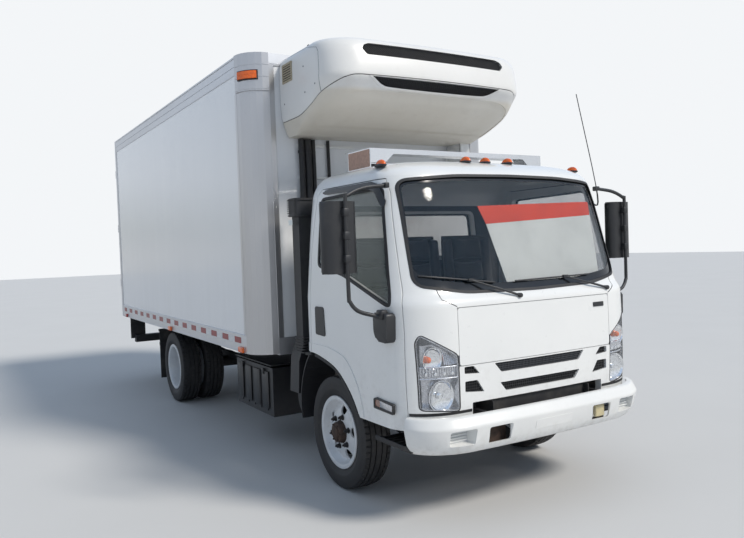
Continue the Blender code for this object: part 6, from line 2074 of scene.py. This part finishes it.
pair("box_rivets", box_rivets(), RAIL_METAL, "chassis")
piece("box_front_rivets", front_rivets(), RAIL_METAL, "chassis")


def tape(first):
    strips = []
    for k in range(first, 30, 2):
        low = -1.115 - 0.155 * k
        if low - 0.150 > -5.62:
            strips.append(block((low - 0.150, low), (-1.2212, -1.2195), (0.963, 1.013)))
    return merged(strips)


def box_edges():
    """Drip edge, top rail, base rail lip and the post's flanges, for the right-hand side."""
    items = [block((-5.670, -0.995), (-1.2215, -1.2135), (3.150, 3.156), 0.001, 1),
             block((-5.670, -0.995), (-1.2190, -1.2140), (3.157, 3.218), 0.001, 1),
             block((-5.670, -0.995), (-1.2255, -1.2195), (3.284, 3.299), 0.002, 1),
             block((-5.670, -0.995), (-1.2235, -1.2195), (1.030, 1.040), 0.0015, 1),
             block((-5.670, -0.995), (-1.2240, -1.2195), (0.890, 0.902), 0.0015, 1)]
    for k in range(1, 10):
        x = -1.00 - 0.52 * k
        items.append(block((x - 0.002, x + 0.002), (-1.2208, -1.2195), (0.903, 1.030)))
    return merged(items)


pair("rail_tape_red", tape(0), TAPE_RED, "chassis")
pair("rail_tape_white", tape(1), TAPE_WHITE, "chassis")
pair("box_edges", box_edges(), RAIL_METAL, "chassis")
POST_CENTRE = (-0.99, -1.02)


def corner_arc(radius, start, end, steps):
    """Part of a circle about the corner post's centre, from share start to share end of it."""
    angles = [pi / 2 * (start + (end - start) * j / steps) for j in range(steps + 1)]
    return [(POST_CENTRE[0] + radius * cos(a), POST_CENTRE[1] - radius * sin(a)) for a in angles]


def cap_and_post():
    """The ribs of the corner cap and the flanges beside the post, for the right-hand corner."""
    rib = corner_arc(0.2118, 0, 1, 16) + corner_arc(0.205, 0, 1, 16)[::-1]
    items = [sheet(rib, "plan", low, low + 0.010) for low in (3.012, 3.108, 3.204)]
    items.append(block((-1.030, -0.988), (-1.2225, -1.2155), (1.040, 3.000), 0.002, 1))
    items.append(block((-0.7935, -0.7865), (-1.022, -0.975), (1.020, 3.218), 0.002, 1))
    items.append(block((-0.7945, -0.786), (-0.98, 0.0), (3.200, 3.220), 0.002, 1))
    return merged(items)


def corner_lamp():
    """The lens with a groove, and the rim that it sits in."""
    near, base, far = [corner_arc(radius, 0.30, 0.80, 10) for radius in (0.209, 0.214, 0.228)]
    rim = corner_arc(0.208, 0.27, 0.83, 10) + corner_arc(0.218, 0.27, 0.83, 10)[::-1]
    lens = sheet(near + far[::-1], "plan", 3.093, 3.152, bevel=0.004)
    groove = sheet(base + [(-0.60, -1.40)], "plan", 3.1225, 3.1235)
    return cut(lens, groove), sheet(rim, "plan", 3.084, 3.161)


def rail_lamps(places):
    return merged([block((x - 0.053, x + 0.053), (-1.2440, -1.2203), (0.892, 0.938), 0.008, 3)
                   for x in places])


lens, rim = corner_lamp()
pair("box_post_trim", cap_and_post(), POST_METAL, "chassis")
pair("corner_lamp", lens, AMBER, "chassis")
pair("corner_lamp_rim", rim, BLACK_RUBBER, "chassis")
pair("rail_lamps", rail_lamps((-1.09, -3.27)), AMBER, "chassis")
pair("rail_lamp_rear", rail_lamps([-5.450]), RED, "chassis")
print("box details ready")

# %% [markdown]
# ## Hoses and the intake stack
# Four coolant and drain hoses hang down the front wall from the unit, and the engine breathes
# through a tall duct behind the cab. Its hood has slots, and its elbow is ribbed rubber.

# %% Hoses and intake
HOSES = ((-0.77, 0.026, 0.90), (-0.715, 0.030, 0.90), (-0.66, 0.018, 0.90), (-0.52, 0.014, 1.00))


def fine_hoses():
    items = []
    for y, radius, low in HOSES:
        x = BOX_FRONT + 0.004 + radius
        points = [(x, y, 2.622), (x, y + 0.004, 2.30), (x, y - 0.003, 1.80 if low < 2 else 2.26),
                  (x, y, low + 0.001)]
        items.append(tube(points, radius * 0.97, 16))
        band = [(-0.010, radius * 0.9), (-0.010, radius * 1.10), (0.010, radius * 1.10),
                (0.010, radius * 0.9)]
        if radius > 0.015:
            items += [turned(band, (x, y, z), (0, 0, 1), 16) for z in (2.52, 2.02, 1.40)]
    return merged(items)


piece("unit_hoses_fine", fine_hoses(), BLACK_RUBBER, "chassis", ["unit_hoses"])
piece("hose_clips", merged([block((-0.7935, -0.783), (-0.79, -0.27), (z - 0.013, z + 0.013), 0.003)
                            for z in (2.315, 2.575)]), WHITE_PAINT, "chassis")
piece("hose_end", rod((-0.775, -0.52, 2.220), (-0.775, -0.52, 2.250), 0.0165, 16, bevel=0.003),
      WHITE_PLASTIC, "chassis")


def intake_details():
    items = [block((-0.570, -0.430), (-1.006, -1.000), (2.005 + 0.016 * k, 2.012 + 0.016 * k), 0.001, 1)
             for k in range(7)]
    items += [sheet(rounded(rectangle((-0.590, -0.410), (-1.006, -0.834)), 0.045), "plan", z, z + 0.008)
              for z in (1.985, 2.104)]
    for k in range(6):
        z = 0.93 + 0.022 * k
        fold = rounded(rectangle((-0.585 - 0.004 * (k % 2), -0.425), (-0.978, -0.842)), 0.02)
        items.append(sheet(fold, "plan", z, z + 0.010))
    items += [turned([(-0.012, 0.128), (-0.012, 0.136), (0.012, 0.136), (0.012, 0.128)],
                     (-0.64, y, 0.53), (0, 1, 0), 40) for y in (-0.84, -0.60)]
    return merged(items)


piece("intake_details", intake_details(), BLACK_PLASTIC, "chassis")
piece("intake_mark", block((-0.545, -0.475), (-1.0080, -1.0062), (1.915, 1.955), 0.0005, 1), CARD_WHITE,
      "chassis")
print("hoses and intake ready")

# %% [markdown]
# ## Seats
# Each seat is a set of separate cushions, so that the seams between them are real creases. A
# cushion is remeshed into even quads and blown up a little by the cloth solver. Each point may move
# only so far, and stays flat where the cushion rests on its pan or its back board.

# %% Blow up a set of cushions
def remeshed(item, voxel):
    even = item.modifiers.new("even", "REMESH")
    even.mode = "VOXEL"
    even.voxel_size = voxel
    return evaluated(item)


def puffed(pads, rest_point, rest_normal, reach=0.014, voxel=0.011):
    """Swells cushions by at most reach, flat on the plane that they rest on."""
    item = merged([remeshed(pad, voxel) for pad in pads])
    start = [vertex.co.copy() for vertex in item.data.vertices]
    cloth = item.modifiers.new("swell", "CLOTH")
    cloth.settings.use_pressure = True
    cloth.settings.uniform_pressure_force = 4.0
    cloth.settings.effector_weights.gravity = 0.0
    cloth.settings.tension_stiffness = cloth.settings.compression_stiffness = 12.0
    cloth.collision_settings.use_collision = False
    for moment in range(1, 21):
        bpy.context.scene.frame_set(moment)
    item = evaluated(item)
    rest_point, rest_normal = Vector(rest_point), Vector(rest_normal).normalized()
    for vertex, origin in zip(item.data.vertices, start):
        move = vertex.co - origin
        if move.length > reach:
            vertex.co = origin + move.normalized() * reach
        below = (vertex.co - rest_point).dot(rest_normal)
        if below < 0:
            vertex.co -= rest_normal * below
    smooth = item.modifiers.new("smooth", "SUBSURF")
    smooth.levels = smooth.render_levels = 1
    return evaluated(item)


def cushion_pads(middles, wings):
    """A seat's middle cushions and its raised side cushions."""
    middle = [(-0.160, 1.156), (0.325, 1.160), (0.338, 1.240), (-0.160, 1.212)]
    wing = [(-0.160, 1.156), (0.318, 1.160), (0.330, 1.252), (-0.160, 1.226)]
    pads = [sheet(rounded(wing, 0.030), "side", low, high, bevel=0.022) for low, high in wings]
    return pads + [sheet(rounded(middle, 0.030), "side", low, high, bevel=0.016)
                   for low, high in middles]


def back_pads(middles, wings):
    """Back rests in three channels between their side cushions."""
    def strip(low, high, thick):
        rear = [(-0.236 - (z - 1.16) * 0.028, z) for z in (low, high)]
        front = [(-0.148 - (z - 1.16) * 0.085 + thick, z) for z in (low, high)]
        return rounded([rear[0], front[0], front[1], rear[1]], 0.022)
    channels = ((1.235, 1.400), (1.410, 1.580), (1.590, 1.775))
    pads = [sheet(strip(low, high, -0.008), "side", left, right, bevel=0.014)
            for left, right in middles for low, high in channels]
    return pads + [sheet(strip(1.235, 1.765, 0.006), "side", low, high, bevel=0.020)
                   for low, high in wings]


SEATS = {
    "seat_driver": (((0.315, 0.625),), ((0.236, 0.305), (0.635, 0.704))),
    "seat_bench": (((-0.625, -0.325), (-0.205, 0.085)),
                   ((-0.704, -0.635), (-0.315, -0.215), (0.095, 0.164))),
}
for name, (middles, wings) in SEATS.items():
    seat = piece(name + "_cushion", puffed(cushion_pads(middles, wings), (0, 0, 1.152), (0, 0, 1)),
                 SEAT_CLOTH, "cab", (name,), angle=80)
    back = piece(name + "_back", puffed(back_pads(middles, wings), (-0.252, 0, 1.45), (1, 0, -0.03)),
                 SEAT_CLOTH, "cab", (name,), angle=80)
    print(name, TRIANGLES[name + "_cushion"], "and", TRIANGLES[name + "_back"], "triangles")

# %% [markdown]
# The cushions lie on a pressed pan and lean on a back board. Two rails lie under each pan.

# %% Seat pans
def seat_pan(y_low, y_high):
    pan = sheet(rounded([(-0.175, 1.112), (0.335, 1.118), (0.348, 1.150), (-0.175, 1.150)], 0.010, 3),
                "side", y_low, y_high, bevel=0.008)
    upright = [(-0.268, 1.150), (-0.252, 1.150), (-0.256, 1.795), (-0.270, 1.795)]
    board = sheet(rounded(upright, 0.005, 2), "side", y_low + 0.01, y_high - 0.01, bevel=0.004)
    hinges = [turned([(-0.012, 0.0), (-0.012, 0.045), (0.012, 0.045), (0.012, 0.0)],
                     (-0.215, y, 1.175), (0, 1, 0), 28) for y in (y_low + 0.006, y_high - 0.006)]
    rails = [block((-0.17, 0.32), (y - 0.012, y + 0.012), (1.1055, 1.113), 0.002)
             for y in (y_low + 0.06, y_high - 0.06)]
    return merged([pan, board] + hinges + rails)


piece("driver_pan", seat_pan(0.232, 0.708), BLACK_PLASTIC, "cab")
piece("bench_pan", seat_pan(-0.708, 0.168), BLACK_PLASTIC, "cab")

# %% [markdown]
# ## Dashboard and steering wheel
# The dashboard keeps the outline of its solid, and gets an instrument hood, air vents, a middle
# stack with a blank radio and three knobs, and a glove box lid. The wheel has a rim and a pad.

# %% Dashboard
def on_dash(z):
    """Where the rear face of the dashboard lies at a height."""
    return 0.66 + (z - 1.18) / 0.18 * 0.06


def dash_parts():
    hood = [(0.735, 1.370), (0.715, 1.402), (0.800, 1.414), (0.900, 1.404), (0.905, 1.380)]
    stack = [(0.655, 1.19), (0.706, 1.345), (0.76, 1.345), (0.76, 1.19)]
    items = [sheet(rounded(hood, 0.010, 4), "side", 0.30, 0.64, bevel=0.014),
             sheet(rounded(stack, 0.010, 3), "side", -0.13, 0.13, bevel=0.008)]
    for y in (-0.78, -0.19, 0.19, 0.78):
        for k in range(5):
            z = 1.285 + 0.012 * k
            x = on_dash(z)
            items.append(block((x - 0.008, x + 0.004), (y - 0.045, y + 0.045), (z, z + 0.005), 0.001, 1))
    x = on_dash(1.25)
    items.append(block((x - 0.010, x + 0.002), (-0.60, -0.30), (1.190, 1.196), 0.002, 1))
    items.append(block((x - 0.004, x + 0.010), (-0.62, -0.28), (1.262, 1.268), 0.002, 1))
    items.append(block((x - 0.016, x), (-0.47, -0.43), (1.240, 1.256), 0.004))
    return merged(items)


def dash_faces():
    items = [block((0.668, 0.690), (-0.095, 0.095), (1.255, 1.310), 0.004)]
    items += [turned([(0.0, 0.018), (0.014, 0.016), (0.016, 0.010), (0.016, 0.0)],
                     (0.660, y, 1.222), (-1, 0, 0.3), 24) for y in (-0.07, 0.0, 0.07)]
    return merged(items)


piece("dash_fittings", dash_parts(), MESH_PLASTIC, "cab")
piece("dash_knobs", dash_faces(), DEEP_BLACK_AND_SHADE, "cab")


def wheel_shape():
    centre = Vector((0.50, 0.47, 1.414))
    axis = Vector((-0.84, 0.0, 0.5425)).normalized()
    side = Vector((0, 1, 0))
    up = axis.cross(side)
    rim = turned([(0.0145 * sin(a), 0.20 + 0.0145 * cos(a)) for a in
                  [2 * pi * k / 14 for k in range(15)]], centre, axis, 72)
    pad = turned([(-0.045, 0.0), (-0.045, 0.050), (-0.010, 0.072), (0.004, 0.068), (0.010, 0.050),
                  (0.012, 0.0)], centre, axis, 40)
    spokes = []
    for a, b in ((0.95, 0.3), (-0.95, 0.3), (0.0, -1.0)):
        out = side * a + up * b
        across = axis.cross(out)
        for shift in (-0.011, 0.011):
            start = centre - axis * 0.010 + across * shift + out * 0.03
            spokes.append(tube([start, centre - axis * 0.004 + across * shift + out * 0.11,
                                centre + across * shift + out * 0.197], 0.010, 10))
    return merged([rim, pad] + spokes)


piece("wheel_rim_and_pad", wheel_shape(), MESH_PLASTIC, "steering", ("steering_wheel",),
      angle=40)
print("seats and dashboard ready")

# %% [markdown]
# ## Rear doors
# The photograph doesn't show the rear. The two doors get what such boxes have: a rubber seal, three
# strap hinges each, a lock rod with cams and keepers, a handle, and tail lamps on the step's plates.

# %% Rear door fittings
REAR_FACE = -5.762
LOCK_ROD_Y = 0.22
STEP_BACK = -5.851


def rear_fittings(side):
    """Strap bolts, rod cams and a padlock plate, all lower than the keepers they stand beside."""
    rod_y = side * LOCK_ROD_Y
    items = []
    for z in (1.35, 2.10, 2.85):
        items += [turned([(0.0, 0.009), (0.004, 0.009), (0.006, 0.006), (0.006, 0.0)],
                         (REAR_FACE - 0.007, side * y, z), (-1, 0, 0), 12) for y in (0.90, 0.97, 1.04)]
    for z in (1.30, 1.85, 2.40, 2.90):
        items.append(turned([(-0.020, 0.011), (-0.020, 0.0155), (0.020, 0.0155), (0.020, 0.011)],
                            (REAR_FACE - 0.0155, rod_y, z), (0, 0, 1), 20))
        items.append(block((REAR_FACE - 0.006, REAR_FACE + 0.001), (rod_y - 0.034, rod_y + 0.034),
                           (z - 0.014, z + 0.014), 0.002))
    items.append(block((REAR_FACE - 0.010, REAR_FACE + 0.001), (side * 0.36 - 0.03, side * 0.36 + 0.03),
                       (1.395, 1.440), 0.004))
    return merged(items)


for name, side in SIDES:
    piece("rear_fittings_" + name, rear_fittings(side), CAST_METAL, name + "_rear_door")
    seal = frame_sheet(rounded(rectangle((side * 0.0035, side * 1.0935), (1.107, 3.113)), 0.012, 3),
                       rounded(rectangle((side * 0.020, side * 1.076), (1.124, 3.096)), 0.010, 3),
                       "front", REAR_FACE - 0.0025, REAR_FACE + 0.002)
    piece("rear_seal_" + name, seal, BLACK_RUBBER, name + "_rear_door")
LAMP_PLACES = [(side * 1.0, z) for _, side in SIDES for z in (0.90, 1.02)]
reds = [turned([(0.0, 0.040), (0.005, 0.040), (0.011, 0.032), (0.014, 0.016), (0.015, 0.0)],
               (STEP_BACK, y, z), (-1, 0, 0), 36) for y, z in LAMP_PLACES]
rings = [turned([(-0.002, 0.052), (0.007, 0.050), (0.007, 0.041), (-0.002, 0.041)],
                (STEP_BACK, y, z), (-1, 0, 0), 36) for y, z in LAMP_PLACES]
piece("tail_lamps", merged(reds), RED, "chassis")
piece("tail_lamp_rings", merged(rings), BLACK_RUBBER, "chassis")
rear_plate = block((STEP_BACK - 0.005, STEP_BACK + 0.002), (-0.155, 0.155), (0.735, 0.885), 0.002)
piece("blank_rear_plate", rear_plate, WHITE_PLASTIC, "chassis")
print("rear ready")

# %% [markdown]
# ## Underbody
# The battery box has a pressed cover with flat ribs and two latches, the tank is held by three
# straps, and each mud flap hangs from a clamped bar.

# %% Underbody
def battery_cover():
    items = [block((-1.94 + 0.20 * k, -1.80 + 0.20 * k), (-0.9620, -0.956), (0.36, 0.68), 0.003)
             for k in range(4)]
    items += [block((x - 0.018, x + 0.018), (-0.972, -0.957), (0.655, 0.705), 0.004)
              for x in (-1.80, -1.30)]
    items.append(block((-1.985, -1.115), (-0.965, -0.42), (0.738, 0.748), 0.004))
    return merged(items)


def tank_straps():
    items = []
    for x in (-1.98, -1.68, -1.37):
        outer = rounded(rectangle((0.418, 1.050), (0.308, 0.752)), 0.075, 6)
        inner = rounded(rectangle((0.423, 1.045), (0.313, 0.747)), 0.070, 6)
        items.append(frame_sheet(outer, inner, "front", x - 0.022, x + 0.022))
    items.append(turned([(0.0, 0.052), (0.030, 0.052), (0.036, 0.046), (0.036, 0.0)],
                        (-1.25, 0.80, 0.742), (0, 0, 1), 36))
    return merged(items)


piece("battery_cover", battery_cover(), BLACK_PLASTIC, "chassis")
piece("tank_straps", tank_straps(), CHASSIS_PAINT, "chassis")
clamps = [block((-4.366, -4.314), (side * 0.565, side * 1.085), (0.772, 0.806), 0.004)
          for _, side in SIDES]
piece("flap_clamps", merged(clamps), CHASSIS_PAINT, "chassis")
print("underbody ready;", sum(TRIANGLES.values()), "triangles in all, most in",
      max(TRIANGLES, key=TRIANGLES.get), max(TRIANGLES.values()))

# %% [markdown]
# ## Trim inside the cab, and a painted reflection on the roof tray
# The cab's back wall has a dark lining around its window, and the tray's right end gets a thin peach
# sheet, a painted sunlit reflection on its aluminium.

# %% Trim
TRIM = plain("cab trim", (0.095, 0.100, 0.108), 0.70)
BACK_WINDOW = [(-0.645, 1.598), (0.645, 1.598), (0.605, 2.002), (-0.605, 2.002)]
lining = frame_sheet(rounded(rectangle((-0.87, 0.87), (1.14, 2.12)), 0.08, 4),
                     rounded(BACK_WINDOW, 0.06, 4), "front", -0.2792, -0.2752)
piece("cab_lining", lining, TRIM, "cab")
# A thin peach sheet over the tray's right end paints the sunlit reflection on its aluminium.
tray_end = sheet(rounded(rectangle((0.050, 0.338), (2.274, 2.393)), 0.004, 2), "side", -0.7925, -0.7902)
piece("tray_end_painted_reflection", tray_end, PEACH_REFLECTION, "cab")
print("trim ready")

# %% [markdown]
# ## Brought up to date
# The scene is brought up to date once more at the end. The dressed truck must not outgrow its
# solids.


bpy.context.view_layer.update()
